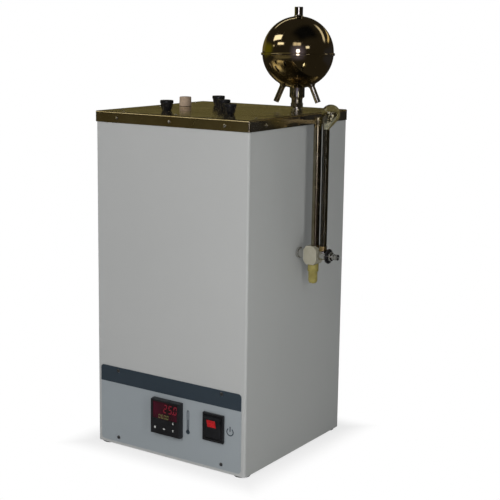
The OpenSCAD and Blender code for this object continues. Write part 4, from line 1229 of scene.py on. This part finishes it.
@dataclass
class Stoppers:
    """The four black stoppers and the pale one at the side."""

    collar_r: float = 9.0
    collar_h: float = 4.0
    top_r: float = 8.4
    waist_r: float = 7.6
    waist_share: float = 0.45
    height: float = 13.8
    plug_r: float = 5.75
    plug_l: float = 13.0
    pale_r: float = 8.5
    pale_h: float = 13.4

    def build(self) -> None:
        """Turns every stopper and sets it in its port."""
        under = self.height - self.collar_h
        profile = eased(
            [
                (0, self.height - 0.6),
                (self.collar_r - 2.5, self.height - 0.6, 0.3),
                (self.collar_r - 2.3, self.height, 0.3),
                (self.collar_r, self.height, 0.9),
                (self.collar_r, under, 0.5),
                (self.top_r, under, 0.3),
                (self.waist_r, under * self.waist_share, 1.6),
                (self.plug_r + 0.15, 0.4, 0.3),
                (self.plug_r, 0, 0.2),
                (self.plug_r, 1.5 - self.plug_l, 0.4),
                (self.plug_r - 0.8, -self.plug_l, 0.3),
                (0, -self.plug_l),
            ]
        )
        spots = {
            "stopper_front_left": (-51.0, -61.0),
            "stopper_front_right": (51.0, -61.0),
            "stopper_back_left": (-51.0, 61.0),
            "stopper_centre": (0.0, 0.0),
        }
        for node, (x, y) in spots.items():
            piece = Bench.turned("cap_" + node[8:], profile, pose_at((x, y, LID_Z)))
            fit(piece, node, "black_rubber", node)
        self.pale()

    def pale(self) -> None:
        """Turns the pale stopper, a little crowned on top."""
        profile = eased(
            [
                (0, self.pale_h),
                (self.pale_r - 2.0, self.pale_h - 0.1, 0.6),
                (self.pale_r - 0.2, self.pale_h - 0.3, 0.9),
                (self.pale_r, 0.3, 0.5),
                (self.plug_r, 0.3, 0.3),
                (self.plug_r, 1 - self.plug_l, 0.3),
                (self.plug_r - 0.8, -self.plug_l, 0.3),
                (0, -self.plug_l),
            ]
        )
        piece = Bench.turned("cap_pale", profile, pose_at((-80.0, 20.5, LID_Z)))
        fit(piece, "stopper_side", "pale_stopper", "stopper_side")


@dataclass
class Condenser:
    """Ball condenser: neck with a union nut, two spun half balls, vent tube and two hose stubs."""

    ball_r: float = 49.0
    wall: float = 1.5
    ball_z: float = 77.6
    seam_drop: float = 2.3
    seam_out: float = 1.5
    seam_h: float = 3.4
    neck_r: float = 10.4
    waist_r: float = 7.65
    vent_r: float = 5.75
    vent_bore_r: float = 4.25
    vent_top: float = 139.0
    stub_r: float = 3.9
    stub_l: float = 30.0
    stub_tilt: float = 22.7
    stub_turn: float = 17.0
    stub_foot_r: float = 29.8
    stub_foot_z: float = 9.9
    arc_steps: int = 56

    def base(self) -> Matrix:
        """Gives the place where the condenser's axis meets the lid."""
        return pose_at((CONDENSER_X, CONDENSER_Y, LID_Z))

    def build(self) -> None:
        """Builds and fixes all of the condenser."""
        self.neck()
        self.ball()
        self.vent()
        self.stubs()
        dress("union_nut", "neck_nut", 0.35, "bright_steel", "union_nut")
        profile = eased(
            [(4.0, -9), (6.5, -9, 0.4), (6.5, 0, 0.2), (9.0, 0, 0.3), (9.0, 1.2, 0.4), (6.5, 1.2, 0.2),
             (6.5, 5.4, 0.4), (4.0, 5.4)], loop=True
        )
        spigot = Bench.turned("neck_socket", profile, self.base())
        ring = [(6.4, -1), (10.4, -1), (11, -1.4), (11, -4.6), (10.4, -5), (6.4, -5), (6.4, -1)]
        lock = Bench.turned("socket_locknut", ring, self.base(), Size.SMALL)
        fit(Bench.joined("neck_socket", spigot, lock), "cabinet", "bright_steel", "condenser_spigot")

    def neck(self) -> None:
        """Turns the neck: tail in the nut, waist, cone and the wide neck below the ball."""
        waist, wide = self.waist_r, self.neck_r
        top = self.ball_z - math.sqrt(self.ball_r**2 - wide**2) + 0.5
        profile = eased(
            [
                (4.0, 5.7), (6.3, 5.7, 0.2), (6.3, 6.7, 0.2), (5.5, 6.7, 0.1), (5.5, 8.7, 0.1),
                (waist, 8.7, 0.3), (waist, 14.6, 0.5), (wide, 17.0, 0.6), (wide, top), (4.0, top),
            ],
            loop=True,
        )
        neck = Bench.turned("ball_neck", profile, self.base())
        fit(neck, "condenser", "ball_steel", "condenser_neck", finish="neck_steel")

    def ball(self) -> None:
        """Spins the two half balls; the upper one carries the rolled seam."""
        r, z = self.ball_r, self.ball_z
        seam_angle = -math.degrees(math.asin(self.seam_drop / r))
        low_angle = -math.degrees(math.acos(self.neck_r / r))
        high_angle = math.degrees(math.acos(self.vent_r / r))
        inner = r - self.wall
        lower = arc(r, z, low_angle, seam_angle, self.arc_steps)
        lower += arc(inner, z, seam_angle, low_angle, self.arc_steps) + [lower[0]]
        place = self.base()
        piece = Bench.turned("ball_lower_half", lower, place, Size.LARGE, angle=40)
        fit(piece, "condenser", "ball_steel", "lower_shell")
        seam_z = z - self.seam_drop
        nose = r + self.seam_out
        half = self.seam_h / 2
        upper = [(inner, seam_z - 0.2), (r - 0.3, seam_z - 0.2), (r - 0.2, seam_z - half)]
        upper += eased(
            [(r - 0.2, seam_z - half), (nose, seam_z - half, 0.8), (nose, seam_z + half, 0.8),
             (r - 0.1, seam_z + half)]
        )[1:]
        start = math.degrees(math.asin((half - self.seam_drop) / r))
        upper += arc(r, z, start, high_angle, self.arc_steps)[1:]
        upper += arc(inner, z, high_angle, seam_angle, self.arc_steps) + [(inner, seam_z - 0.2)]
        piece = Bench.turned("ball_upper_half", upper, place, Size.LARGE, angle=40)
        fit(piece, "condenser", "ball_steel", "upper_shell")

    def vent(self) -> None:
        """Turns the vent tube, its flared weld and its rounded mouth."""
        top = self.ball_z + math.sqrt(self.ball_r**2 - (self.vent_r + 1.2) ** 2)
        profile = eased(
            [
                (self.vent_bore_r, 114.6), (self.vent_r, 114.6, 0.2), (self.vent_r, top - 1, 0.2),
                (self.vent_r + 1.2, top - 0.2, 0.2), (self.vent_r + 0.3, top + 0.9, 0.6),
                (self.vent_r, top + 2.2, 0.6), (self.vent_r, self.vent_top, 0.6),
                (self.vent_bore_r, self.vent_top, 0.6),
            ],
            loop=True,
        )
        tube = Bench.turned("ball_vent", profile, self.base())
        fit(tube, "condenser", "ball_steel", "vent_tube", finish="neck_steel")

    def stubs(self) -> None:
        """Turns a hose stub with its weld ring and sets one on each side."""
        r = self.stub_r
        profile = eased(
            [(r - 1, 0, 0.3), (r, 0, 0.3), (r, 23.0, 0.3), (r + 1.5, 24.6, 0.8), (r + 1.3, 26.4, 0.3),
             (r, 27.0, 0.2), (r, self.stub_l), (r - 1, self.stub_l)], loop=True
        )
        master = Bench.turned("stub_master", profile, Matrix.Identity(4), Size.MEDIUM)
        places = []
        for side in (-1, 1):
            foot = Matrix.Translation((side * self.stub_foot_r * MM, 0, self.stub_foot_z * MM))
            lean = Matrix.Rotation(math.radians(-side * self.stub_tilt), 4, "Y")
            turn = Matrix.Rotation(math.radians(self.stub_turn), 4, "Z")
            places.append(self.base() @ turn @ foot @ lean)
        stubs = Bench.copies(master, "hose_stubs", places)
        fit(stubs, "condenser", "ball_steel", "coolant_stubs", finish="neck_steel")


@dataclass
class LevelGauge:
    """Side level gauge: bulkhead, valve body, nozzle, barrel, standpipe and sight glass."""

    block_mid: float = 145.8
    barrel_x: float = 155.1
    barrel_end: float = 174.0
    washer_x: float = 167.6
    pipe_x: float = 148.0
    glass_x: float = 160.35
    glass_r: float = 4.5
    glass_bore_r: float = 3.2
    oil_top: float = 445.0
    gland_z: float = 285.85
    nozzle_z: float = 267.4
    block_top: float = 291.8

    def build(self) -> None:
        """Builds and fixes the gauge."""
        self.bulkhead()
        self.barrel()
        self.nozzle()
        dress("drain_block", "valve_body", 0.3, "block_plastic")
        # The clip is bright steel drawn with the darkened steel copy: painted dark reflection in place of
        # its glint
        dress("gauge_clip", "pipe_clip", 0.2, "bright_steel", segments=2, finish="painted_dark_steel")
        dress("drain_spindle", "drain_knob", 0.12, "bright_steel", "spindle", segments=2)
        dress("sight_glass", "level_glass", 0, "glass", limit=50)
        foot = self.block_top - 4
        profile = eased(
            [(3.9, foot), (5.4, foot), (5.4, LID_Z - 1.8, 0.6), (3.9, LID_Z - 1.8, 0.6)], loop=True
        )
        pipe = Bench.turned("stand_pipe", profile, pose_at((self.pipe_x, 0, 0)))
        # The standpipe is bright steel drawn with the darkened steel copy: painted dark reflection
        fit(pipe, "cabinet", "bright_steel", "standpipe", finish="painted_dark_steel")
        bore, r = self.glass_bore_r, self.glass_r
        profile = eased(
            [(bore, 0), (r + 0.5, 0, 0.3), (r + 0.5, 2.5, 0.2), (r + 0.3, 2.7, 0.1), (r + 0.3, 6.5, 0.1),
             (r, 6.5), (r, 1.5), (bore, 1.5)], loop=True
        )
        gland = Bench.turned("glass_collar", profile, pose_at((self.glass_x, 0, self.gland_z)))
        fit(gland, "cabinet", "brass", "glass_gland")
        self.oil()

    def oil(self) -> None:
        """Fills the straight length of the sight glass with the dark bath oil, up to a dished level."""
        r = self.glass_bore_r + 0.1
        low, high = self.gland_z + 1.6, self.oil_top
        dish = [(r * 0.8, high - 0.5), (r * 0.4, high - 0.8), (0, high - 0.9)]
        profile = [(0, low), (r, low), (r, high), *dish]
        column = Bench.turned("oil_column", profile, pose_at((self.glass_x, 0, 0)))
        fit(column, "cabinet", "glass", finish="bath_oil")

    def bulkhead(self) -> None:
        """Turns the wall fitting between the cabinet and the valve body."""
        profile = eased(
            [
                (3.0, 0), (5.6, -2.4, 0.2), (5.6, 0.01, 0.1), (7.25, 0.01, 0.4), (7.25, 3.5, 0.4),
                (6.25, 3.6, 0.2), (6.25, 9.4, 0.2), (6.95, 9.5, 0.4), (6.95, 14, 0.4), (3.0, 14),
            ],
            loop=True,
        )
        piece = Bench.turned("wall_fitting", profile, pose_at((SIDE_X, 0, DRAIN_Z), Axis.RIGHT))
        fit(piece, "cabinet", "bright_steel", "wall_bulkhead")

    def barrel(self) -> None:
        """Turns the barrel with its glass post, and the washer ring."""
        length = self.barrel_end - self.barrel_x
        profile = eased(
            [(3.0, 0), (5.85, 0, 0.3), (5.85, 10.4, 0.3), (5.45, 10.8, 0.2), (5.45, 11.6, 0.2),
             (5.85, 12.0, 0.3), (5.85, length, 0.5), (2.6, length, 0.2), (2.6, length - 9),
             (3.0, length - 9.4)], loop=True
        )
        tube = Bench.turned("valve_barrel", profile, pose_at((self.barrel_x, 0, DRAIN_Z), Axis.RIGHT))
        bore, r = self.glass_bore_r, self.glass_r + 0.5
        post = eased([(bore, 0.2), (r, 0.2), (r, 6.25, 0.2), (bore, 6.25)], loop=True)
        rise = Bench.turned("barrel_post", post, pose_at((self.glass_x, 0, DRAIN_Z)))
        fit(Bench.joined("valve_barrel", tube, rise), "cabinet", "bright_steel", "gauge_barrel")
        ring = eased([(5.86, 0, 0.2), (9.7, 0, 0.6), (9.7, 2.4, 0.6), (5.86, 2.4, 0.2)], loop=True)
        washer = Bench.turned("barrel_washer", ring, pose_at((self.washer_x, 0, DRAIN_Z), Axis.RIGHT))
        fit(washer, "cabinet", "black_rubber", "washer_ring")

    def nozzle(self) -> None:
        """Turns the amber nozzle and cuts its end slot."""
        profile = eased(
            [
                (3.1, 0), (7.3, 0, 0.3), (7.3, 10.0, 0.5), (6.1, 10.8, 0.4), (6.1, 23.2, 0.6),
                (5.2, 25.6, 0.6), (4.0, 26.4, 0.3), (3.1, 26.4, 0.2),
            ],
            loop=True,
        )
        piece = Bench.turned("drain_spout", profile, pose_at((self.block_mid, 0, self.nozzle_z), Axis.DOWN))
        low = self.nozzle_z - 28
        slot = Bench.block(
            "slot_tool", (self.block_mid - 0.8, -8, low), (self.block_mid + 0.8, 8, low + 3.1)
        )
        Bench.cut(piece, slot)
        Bench.smooth(piece)
        fit(piece, "cabinet", "nozzle_plastic", "drain_nozzle")


class Segment(Enum):
    """Bars of a seven-bar digit."""

    TOP = "a"
    UPPER_RIGHT = "b"
    LOWER_RIGHT = "c"
    BOTTOM = "d"
    LOWER_LEFT = "e"
    UPPER_LEFT = "f"
    MIDDLE = "g"


DIGIT_BARS = {"0": "abcdef", "2": "abged", "5": "afgcd", "6": "afgedc"}


@dataclass
class Readout:
    """A row of seven-bar digits behind the display window."""

    left: float
    low: float
    width: float
    height: float
    digits: str
    lean: float = 0.10
    bar: float = 0.13
    gap: float = 0.30

    def build(self, name: str, y: float, depth: float) -> Piece:
        """Makes the bars of all the digits as thin raised plates.

        Args:
            name: Name of the piece.
            y: Place of the bars' front face.
            depth: Thickness of the bars.

        Returns:
            One piece with every lit bar.
        """
        count = len(self.digits.replace(".", ""))
        pitch = self.width / (count - self.gap)
        wide = pitch * (1 - self.gap)
        bars: list[Piece] = []
        column = 0
        for mark in self.digits:
            if mark == ".":
                x = self.left + column * pitch - pitch * self.gap * 0.62
                thick = self.bar * self.height
                bars.append(self._bar(x, self.low, thick, thick, y, depth))
                continue
            x = self.left + column * pitch
            for key in DIGIT_BARS[mark]:
                bars.append(self._segment(Segment(key), x, wide, y, depth))
            column += 1
        return Bench.joined(name, *bars)

    def _segment(self, segment: Segment, x: float, wide: float, y: float, depth: float) -> Piece:
        """Makes one bar of a digit.

        Args:
            segment: Which bar.
            x: The digit's left edge.
            wide: The digit's width.
            y: Place of the bar's front face.
            depth: Thickness of the bar.

        Returns:
            The bar.
        """
        t = self.bar * self.height
        half = self.height / 2
        rows = {
            Segment.TOP: (0, self.height - t, wide, t),
            Segment.MIDDLE: (0, half - t / 2, wide, t),
            Segment.BOTTOM: (0, 0, wide, t),
            Segment.UPPER_RIGHT: (wide - t, half, t, half),
            Segment.LOWER_RIGHT: (wide - t, 0, t, half),
            Segment.UPPER_LEFT: (0, half, t, half),
            Segment.LOWER_LEFT: (0, 0, t, half),
        }
        dx, dz, w, h = rows[segment]
        return self._bar(x + dx, self.low + dz, w, h, y, depth)

    def _bar(self, x: float, z: float, w: float, h: float, y: float, depth: float) -> Piece:
        """Makes one bar that leans and is pointed at both ends; an even one is a plain dot.

        Args:
            x: Left side of the bar.
            z: Foot of the bar.
            w: Width.
            h: Height.
            y: Place of the front face.
            depth: Thickness.

        Returns:
            The bar.
        """
        trim = 0.06 * self.height
        long, thick = max(w, h), min(w, h)
        start, stop = trim + thick / 2, long - trim - thick / 2
        outline = [(trim, thick / 2), (start, 0.0), (stop, 0.0), (long - trim, thick / 2), (stop, thick),
                   (start, thick)]
        if w == h:
            outline = [(0.0, 0.0), (w, 0.0), (w, h), (0.0, h)]
        elif h > w:
            outline = [(b, a) for a, b in outline]
        slanted = [(x + u + (z + v - self.low) * self.lean, z + v) for u, v in outline]
        return Bench.plate("bar", slanted, y, depth)


@dataclass
class Controller:
    """Temperature controller: bezel, smoked window, two readouts and four keys."""

    window_y: float = BEZEL_Y + 0.6
    lit: float = 0.12
    key_r: float = 2.3
    sign_top: float = 0.88
    keys: tuple[tuple[str, float, float], ...] = (
        ("key_cycle", -15.6, -14.6), ("key_shift", -0.6, -14.8),
        ("key_up", 14.2, -4.4), ("key_down", 14.2, -14.6),
    )

    SIGNS = {
        "key_cycle": [(1.5 * math.cos(math.tau * k / 16), 1.7 * math.sin(math.tau * k / 16))
                      for k in range(16)],
        "key_shift": [(-2.1, 0.0), (-0.7, 1.1), (0.7, 1.1), (2.1, 0.0), (0.7, -1.1), (-0.7, -1.1)],
        "key_up": [(-1.3, -1.5), (1.3, -1.5), (0.3, 1.7), (-0.3, 1.7)],
        "key_down": [(-0.3, -1.7), (0.3, -1.7), (1.3, 1.5), (-1.3, 1.5)],
    }

    def build(self) -> None:
        """Builds and fixes the controller."""
        dress("controller_bezel", "controller_face", 0.35, "black_plastic")
        upper = Readout(left=-3.0, low=67.0, width=22.0, height=11.6, digits="25.0")
        lower = Readout(left=-11.0, low=58.4, width=16.4, height=5.6, digits="060.0")
        for name, row, finish in (
            ("upper_digits", upper, "red_digits"), ("lower_digits", lower, "green_digits")
        ):
            bars = row.build(name, self.window_y - self.lit, self.lit + 0.05)
            fit(bars, "cabinet", "window", finish=finish)
        for name, dx, dz in self.keys:
            self.key(name, dx, dz)

    def key(self, name: str, dx: float, dz: float) -> None:
        """Turns one dark key cap and sets its pale sign on the flat face.

        Args:
            name: The key's CAD node, which is also its body.
            dx: Millimetres to the right of the controller's middle.
            dz: Millimetres above it.
        """
        r = self.key_r
        flat = 0.72
        profile = eased([(0, flat), (r - 0.35, flat, 0.2), (r, 0.4, 0.2), (r, -1.5, 0.2), (0, -1.5)])
        place = pose_at((dx, BEZEL_Y, CONTROL_Z + dz), Axis.FRONT)
        piece = Bench.turned(name + "_cap", profile, place, Size.SMALL)
        fit(piece, name, "key_rubber", name, finish="dark_key")
        outline = [(dx + u, CONTROL_Z + dz + v) for u, v in self.SIGNS[name]]
        sign = Bench.plate(name + "_sign", outline, BEZEL_Y - self.sign_top, self.sign_top - flat + 0.05)
        fit(sign, name, "key_rubber")


@dataclass
class PowerSwitch:
    """Rocker switch with a glowing lens in the paddle's upper half."""

    def build(self) -> None:
        """Builds and fixes the switch."""
        dress("rocker_frame", "switch_frame", 0.7, "black_plastic")
        dress("rocker_paddle", "switch_rocker", 0.45, "black_plastic", "paddle")
        dress("rocker_lens", "switch_lens", 0.3, "lens", "paddle")


@dataclass
class FrontPanel:
    """Panel plate with its dark header, screws and printed signs."""

    edge: float = 0.2
    screw_x: float = 86.0
    screw_low: float = 12.5
    screw_high: float = 108.1
    ink_depth: float = 0.12

    def build(self) -> None:
        """Builds and fixes the panel."""
        dress("control_panel", "panel_sheet", self.edge, "panel_plate", segments=2)
        places = [
            ((x, PANEL_Y, z), Axis.FRONT)
            for x in (-self.screw_x, self.screw_x)
            for z in (self.screw_low, self.screw_high)
        ]
        screws = Screws(head=5.0, dome=1.2, shank=2.5, length=3.6)
        screws.drive("panel_screws", "panel_face_screws", "black_plastic", places, "dark_screw")
        self.power_sign()
        self.heat_sign()

    def power_sign(self) -> None:
        """Prints the power sign right of the switch: a ring with a gap at the top and a bar."""
        x, z, r, line = 99.6, 59.6, 5.6, 1.4
        gap = 70.0
        place = pose_at((x, PANEL_Y, z), Axis.FRONT) @ Matrix.Rotation(math.radians(90 - gap / 2), 4, "Z")
        ring = [(r - line, 0.0), (r, 0.0), (r, self.ink_depth), (r - line, self.ink_depth), (r - line, 0.0)]
        part = Bench.turned("power_ring", ring, place, Size.MEDIUM, sweep=360 - gap)
        half = line / 2
        low, high = z + 0.4, z + 7.2
        outline = [(x - half, low), (x + half, low), (x + half, high), (x - half, high)]
        bar = Bench.plate("power_bar", outline, PANEL_Y - self.ink_depth, self.ink_depth)
        fit(Bench.joined("power_sign", part, bar), "cabinet", "header_foil")

    def heat_sign(self) -> None:
        """Prints the upright mark between the controller and the switch: a tube with a bulb below."""
        y = PANEL_Y - self.ink_depth
        x, foot, top = 32.4, 46.4, 73.4
        bulb_r, half, line = 3.1, 1.9, 1.0
        parts = []
        for side in (-1, 1):
            inner, outer = x + side * (half - line), x + side * half
            low, high = min(inner, outer), max(inner, outer)
            wall = [(low, foot), (high, foot), (high, top), (low, top)]
            parts.append(Bench.plate("heat_wall", wall, y, self.ink_depth))
        column = [(x - 0.3, foot), (x + 0.3, foot), (x + 0.3, top - 11.0), (x - 0.3, top - 11.0)]
        parts.append(Bench.plate("heat_column", column, y, self.ink_depth))
        crown = [(half - line, 0.0), (half, 0.0), (half, self.ink_depth), (half - line, self.ink_depth)]
        place = pose_at((x, PANEL_Y, top), Axis.FRONT) @ Matrix.Rotation(math.pi, 4, "Z")
        parts.append(Bench.turned("heat_crown", crown + crown[:1], place, Size.SMALL, sweep=180))
        circle = [(x + bulb_r * math.cos(a), foot - 1.0 + bulb_r * math.sin(a)) for a in
                  (math.tau * k / 24 for k in range(24))]
        parts.append(Bench.plate("heat_bulb", circle, y, self.ink_depth))
        fit(Bench.joined("heat_sign", *parts), "cabinet", "header_foil")


class ServiceBay:
    """Everything that keeps its CAD shape, most of it behind the sheets."""

    def build(self) -> None:
        """Dresses each CAD node that still shows."""
        slots = {part["node"]: part["material_slot"] for part in frame["record"]["subparts"]}
        for name, node in frame["nodes"].items():
            if node.hide_render:
                continue
            node.data.materials.clear()
            node.data.materials.append(Stock.get(slots[name]))
            LOG.info("%s keeps its CAD shape, dressed as %s", name, slots[name])


@dataclass(frozen=True)
class RoomPatch:
    """A part of the room that polished metal mirrors, by compass and height angle in degrees.

    Azimuth 0 is towards the viewer of the front, 90 towards the gauge side.
    """

    azimuth: float
    height: float
    wide: float
    tall: float
    colour: Colour
    blur: float = 0.12
    roll: float = 0.0


class Studio:
    """Room, floor, lamps and camera."""

    WHITE: Colour = (1.0, 1.0, 1.0)
    SOFT_LIGHT: Colour = (0.215, 0.22, 0.222)
    SEEN_THROUGH: Colour = (0.135, 0.118, 0.062)
    ROOM_TONE: Colour = (0.022, 0.018, 0.011)
    PATCHES = (
        RoomPatch(-125, 5, 52, 13, (0.145, 0.121, 0.043), 0.14),
        RoomPatch(-20, -11, 60, 13, (0.115, 0.097, 0.050), 0.35),
        RoomPatch(149, -6, 50, 26, (0.026, 0.025, 0.027), 0.4),
        RoomPatch(77, 66, 62, 44, (0.003, 0.003, 0.003), 0.5),
        RoomPatch(-83, 4, 40, 19, (0.115, 0.105, 0.006), 0.6, -6),
        RoomPatch(-129, 36, 27, 3.5, (1.5, 1.35, 0.95), 0.3, 18),
        RoomPatch(-57, 36, 13, 27, (1.9, 1.75, 1.35), 0.12, 63),
        RoomPatch(-32, 24.4, 21, 6, (1.9, 1.7, 1.25), 0.2, -9),
        RoomPatch(-57, 14.7, 6, 3, (0.8, 0.7, 0.45), 0.3, -9),
        RoomPatch(20.5, 27.5, 11, 10, (1.0, 0.85, 0.6), 0.25),
        RoomPatch(34, 27.5, 11, 9, (1.1, 0.95, 0.7), 0.25),
        RoomPatch(62.5, 17, 11, 7, (1.5, 1.4, 1.1), 0.3),
        RoomPatch(31, 2, 34, 34, (0.16, 0.14, 0.20), 0.95),
        RoomPatch(31, 5, 9, 10, (7.0, 6.8, 7.2), 0.5),
        RoomPatch(31, -8, 4, 4, (2.0, 1.9, 2.1), 0.4),
        RoomPatch(151, 34.5, 36, 8, (0.9, 0.82, 0.6), 0.3, -36),
        RoomPatch(171, 17, 32, 5, (0.8, 0.62, 0.28), 0.3),
    )
    # Name, place and aim in metres, width and height, watts, colour.
    LAMPS = (
        ("key_softbox", (0.1, -1.9, 1.2), (0.0, -0.1, 0.22), (1.1, 1.1), 19.2, (1.0, 0.965, 0.98)),
        ("side_strip", (0.56, -0.37, 0.30), (0.1, 0.0, 0.28), (0.09, 0.75), 1.25, (1.0, 0.98, 0.96)),
        ("low_spot", (0.754, 0.975, 0.06), (0.1, -0.04, 0.272), (0.05, 0.05), 0.25, (1.0, 0.98, 0.95)),
    )
    SENSOR = 36.0
    LENS = 85.03
    SHIFT = (0.06, -0.04)
    CAMERA_PLACE = (0.88355, -1.32545, 0.5854)
    CAMERA_AXES = ((0.822, 0.5694, 0.0096), (-0.1084, 0.1399, 0.9842), (0.559, -0.8101, 0.1767))

    def build(self) -> None:
        """Builds the studio."""
        self.room()
        self.floor()
        for lamp in self.LAMPS:
            self._lamp(*lamp)
        self.camera()

    def room(self) -> None:
        """Sets the room: white to the camera, soft to matt things, dim and warm to polished ones."""
        world = bpy.data.worlds.new("studio room")
        bpy.context.scene.world = world
        world.use_nodes = True
        tree = Tree(world.node_tree)
        way = tree.add("TexCoord").outputs["Generated"]
        mirrored = self.ROOM_TONE
        for patch in self.PATCHES:
            mirrored = self._patch(tree, way, patch, mirrored)
        path = tree.add("LightPath")
        glossy = tree.blend(path.outputs["Is Glossy Ray"], self.SOFT_LIGHT, mirrored)
        seen = tree.blend(path.outputs["Is Camera Ray"], glossy, self.WHITE)
        clear = tree.blend(path.outputs["Is Transmission Ray"], seen, self.SEEN_THROUGH)
        background = tree.add("Background", Color=clear, Strength=1.0)
        output = tree.add("OutputWorld")
        tree.feed(output, "Surface", background.outputs[0])

    @staticmethod
    def _patch(tree: Tree, way: Socket, patch: RoomPatch, under: Tint) -> Socket:
        """Lays one patch over the room's colour.

        Args:
            tree: The room's tree.
            way: The direction looked in.
            patch: The patch.
            under: The room's colour so far.

        Returns:
            The new colour.
        """
        a, e, roll = (math.radians(v) for v in (patch.azimuth, patch.height, patch.roll))
        ahead = Vector((math.sin(a) * math.cos(e), -math.cos(a) * math.cos(e), math.sin(e)))
        across = Vector((math.cos(a), math.sin(a), 0.0))
        above = across.cross(ahead)
        turned = across * math.cos(roll) + above * math.sin(roll)
        above = above * math.cos(roll) - across * math.sin(roll)
        dots = []
        for axis in (ahead, turned, above):
            dot = tree.add("VectorMath", {"operation": "DOT_PRODUCT"}, in_0=way, in_1=tuple(axis))
            dots.append(dot.outputs["Value"])
        mask = tree.math("GREATER_THAN", dots[0], 0.05)
        depth = tree.math("MAXIMUM", dots[0], 0.05)
        for side, angle in ((dots[1], patch.wide), (dots[2], patch.tall)):
            edge = math.tan(math.radians(angle / 2))
            share = tree.math("ABSOLUTE", tree.math("DIVIDE", side, depth))
            inside = tree.span(share, edge * (1 - patch.blur), edge * (1 + patch.blur), 1.0, 0.0)
            mask = tree.math("MULTIPLY", mask, inside)
        return tree.blend(mask, under, patch.colour)

    def floor(self) -> None:
        """Lays a pale floor that turns to plain white away from the object."""
        Bench.clear()
        bpy.ops.mesh.primitive_circle_add(vertices=96, radius=12.0, fill_type="NGON", location=(0, 0, 0))
        sheet = bpy.context.object
        sheet.name = "studio_floor"
        bpy.ops.object.mode_set(mode="EDIT")
        bpy.ops.mesh.select_all(action="SELECT")
        bpy.ops.mesh.inset(thickness=11.0)
        bpy.ops.object.mode_set(mode="OBJECT")
        material = bpy.data.materials.new("pale floor")
        material.use_nodes = True
        tree = Tree(material.node_tree)
        place = tree.add("TexCoord").outputs["Object"]
        away = self._outside(tree, place)
        matt = tree.add("BsdfDiffuse", Color=(0.86, 0.86, 0.86, 1.0))
        glow = tree.add("Emission", Color=(*self.WHITE, 1.0), Strength=1.0)
        to_camera = tree.add("LightPath").outputs["Is Camera Ray"]
        share = tree.math("MULTIPLY", tree.span(away, 0.002, 0.05, 0.72, 1.0), to_camera)
        mixed = tree.add("MixShader", in_0=share, in_1=matt.outputs[0], in_2=glow.outputs[0])
        output = tree.add("OutputMaterial")
        tree.feed(output, "Surface", mixed.outputs[0])
        sheet.data.materials.append(material)
        sheet.visible_glossy = False
        sheet.visible_transmission = False

    @staticmethod
    def _outside(tree: Tree, place: Socket) -> Socket:
        """Gives a floor point's distance in metres outside the cabinet's footprint.

        Args:
            tree: The floor's tree.
            place: The floor's coordinates.

        Returns:
            The distance.
        """
        low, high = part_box("cabinet_shell")
        gaps = []
        for i in (0, 1):
            here = tree.add("SeparateXYZ", Vector=place).outputs[i]
            from_middle = tree.math("ABSOLUTE", tree.math("SUBTRACT", here, (low[i] + high[i]) / 2))
            gaps.append(tree.math("SUBTRACT", from_middle, (high[i] - low[i]) / 2))
        return tree.math("MAXIMUM", gaps[0], gaps[1])

    @staticmethod
    def _lamp(
        name: str, place: Point, aim: Point, size: tuple[float, float], power: float, colour: Colour
    ) -> None:
        """Adds a rectangular lamp that no mirror shows.

        Args:
            name: Name of the lamp.
            place: Where it hangs, in metres.
            aim: What it points at.
            size: Width and height in metres.
            power: Watts.
            colour: Its light.
        """
        data = bpy.data.lights.new(name, "AREA")
        data.shape = "RECTANGLE"
        data.size, data.size_y = size
        data.energy = power
        data.color = colour
        lamp = bpy.data.objects.new(name, data)
        bpy.context.scene.collection.objects.link(lamp)
        way = Vector(place) - Vector(aim)
        turn = way.to_track_quat("Z", "Y").to_matrix().to_4x4()
        lamp.matrix_world = Matrix.Translation(Vector(place)) @ turn
        lamp.visible_glossy = False
        lamp.visible_camera = False

    def camera(self) -> None:
        """Sets the camera where the photograph was taken from."""
        data = bpy.data.cameras.new("photo_camera")
        data.sensor_width = self.SENSOR
        data.lens = self.LENS
        data.shift_x, data.shift_y = self.SHIFT
        data.clip_start = 0.05
        data.clip_end = 60.0
        camera = bpy.data.objects.new("photo_camera", data)
        bpy.context.scene.collection.objects.link(camera)
        turn = Matrix(self.CAMERA_AXES).transposed().to_4x4()
        turn.normalize()
        camera.matrix_world = Matrix.Translation(self.CAMERA_PLACE) @ turn
        bpy.context.scene.camera = camera
        bpy.context.scene.view_settings.view_transform = "Standard"


def main() -> None:
    """Builds every sub-assembly, dresses what keeps its CAD shape and sets up the studio."""
    logging.basicConfig(level=logging.INFO, format="%(name)s: %(message)s")
    Studio().build()
    parts = (Cabinet, Lid, Stoppers, Condenser, LevelGauge, FrontPanel, Controller, PowerSwitch)
    for part in parts:
        LOG.info("building %s", part.__name__)
        part().build()
    ServiceBay().build()


if __name__ == "__main__":
    main()
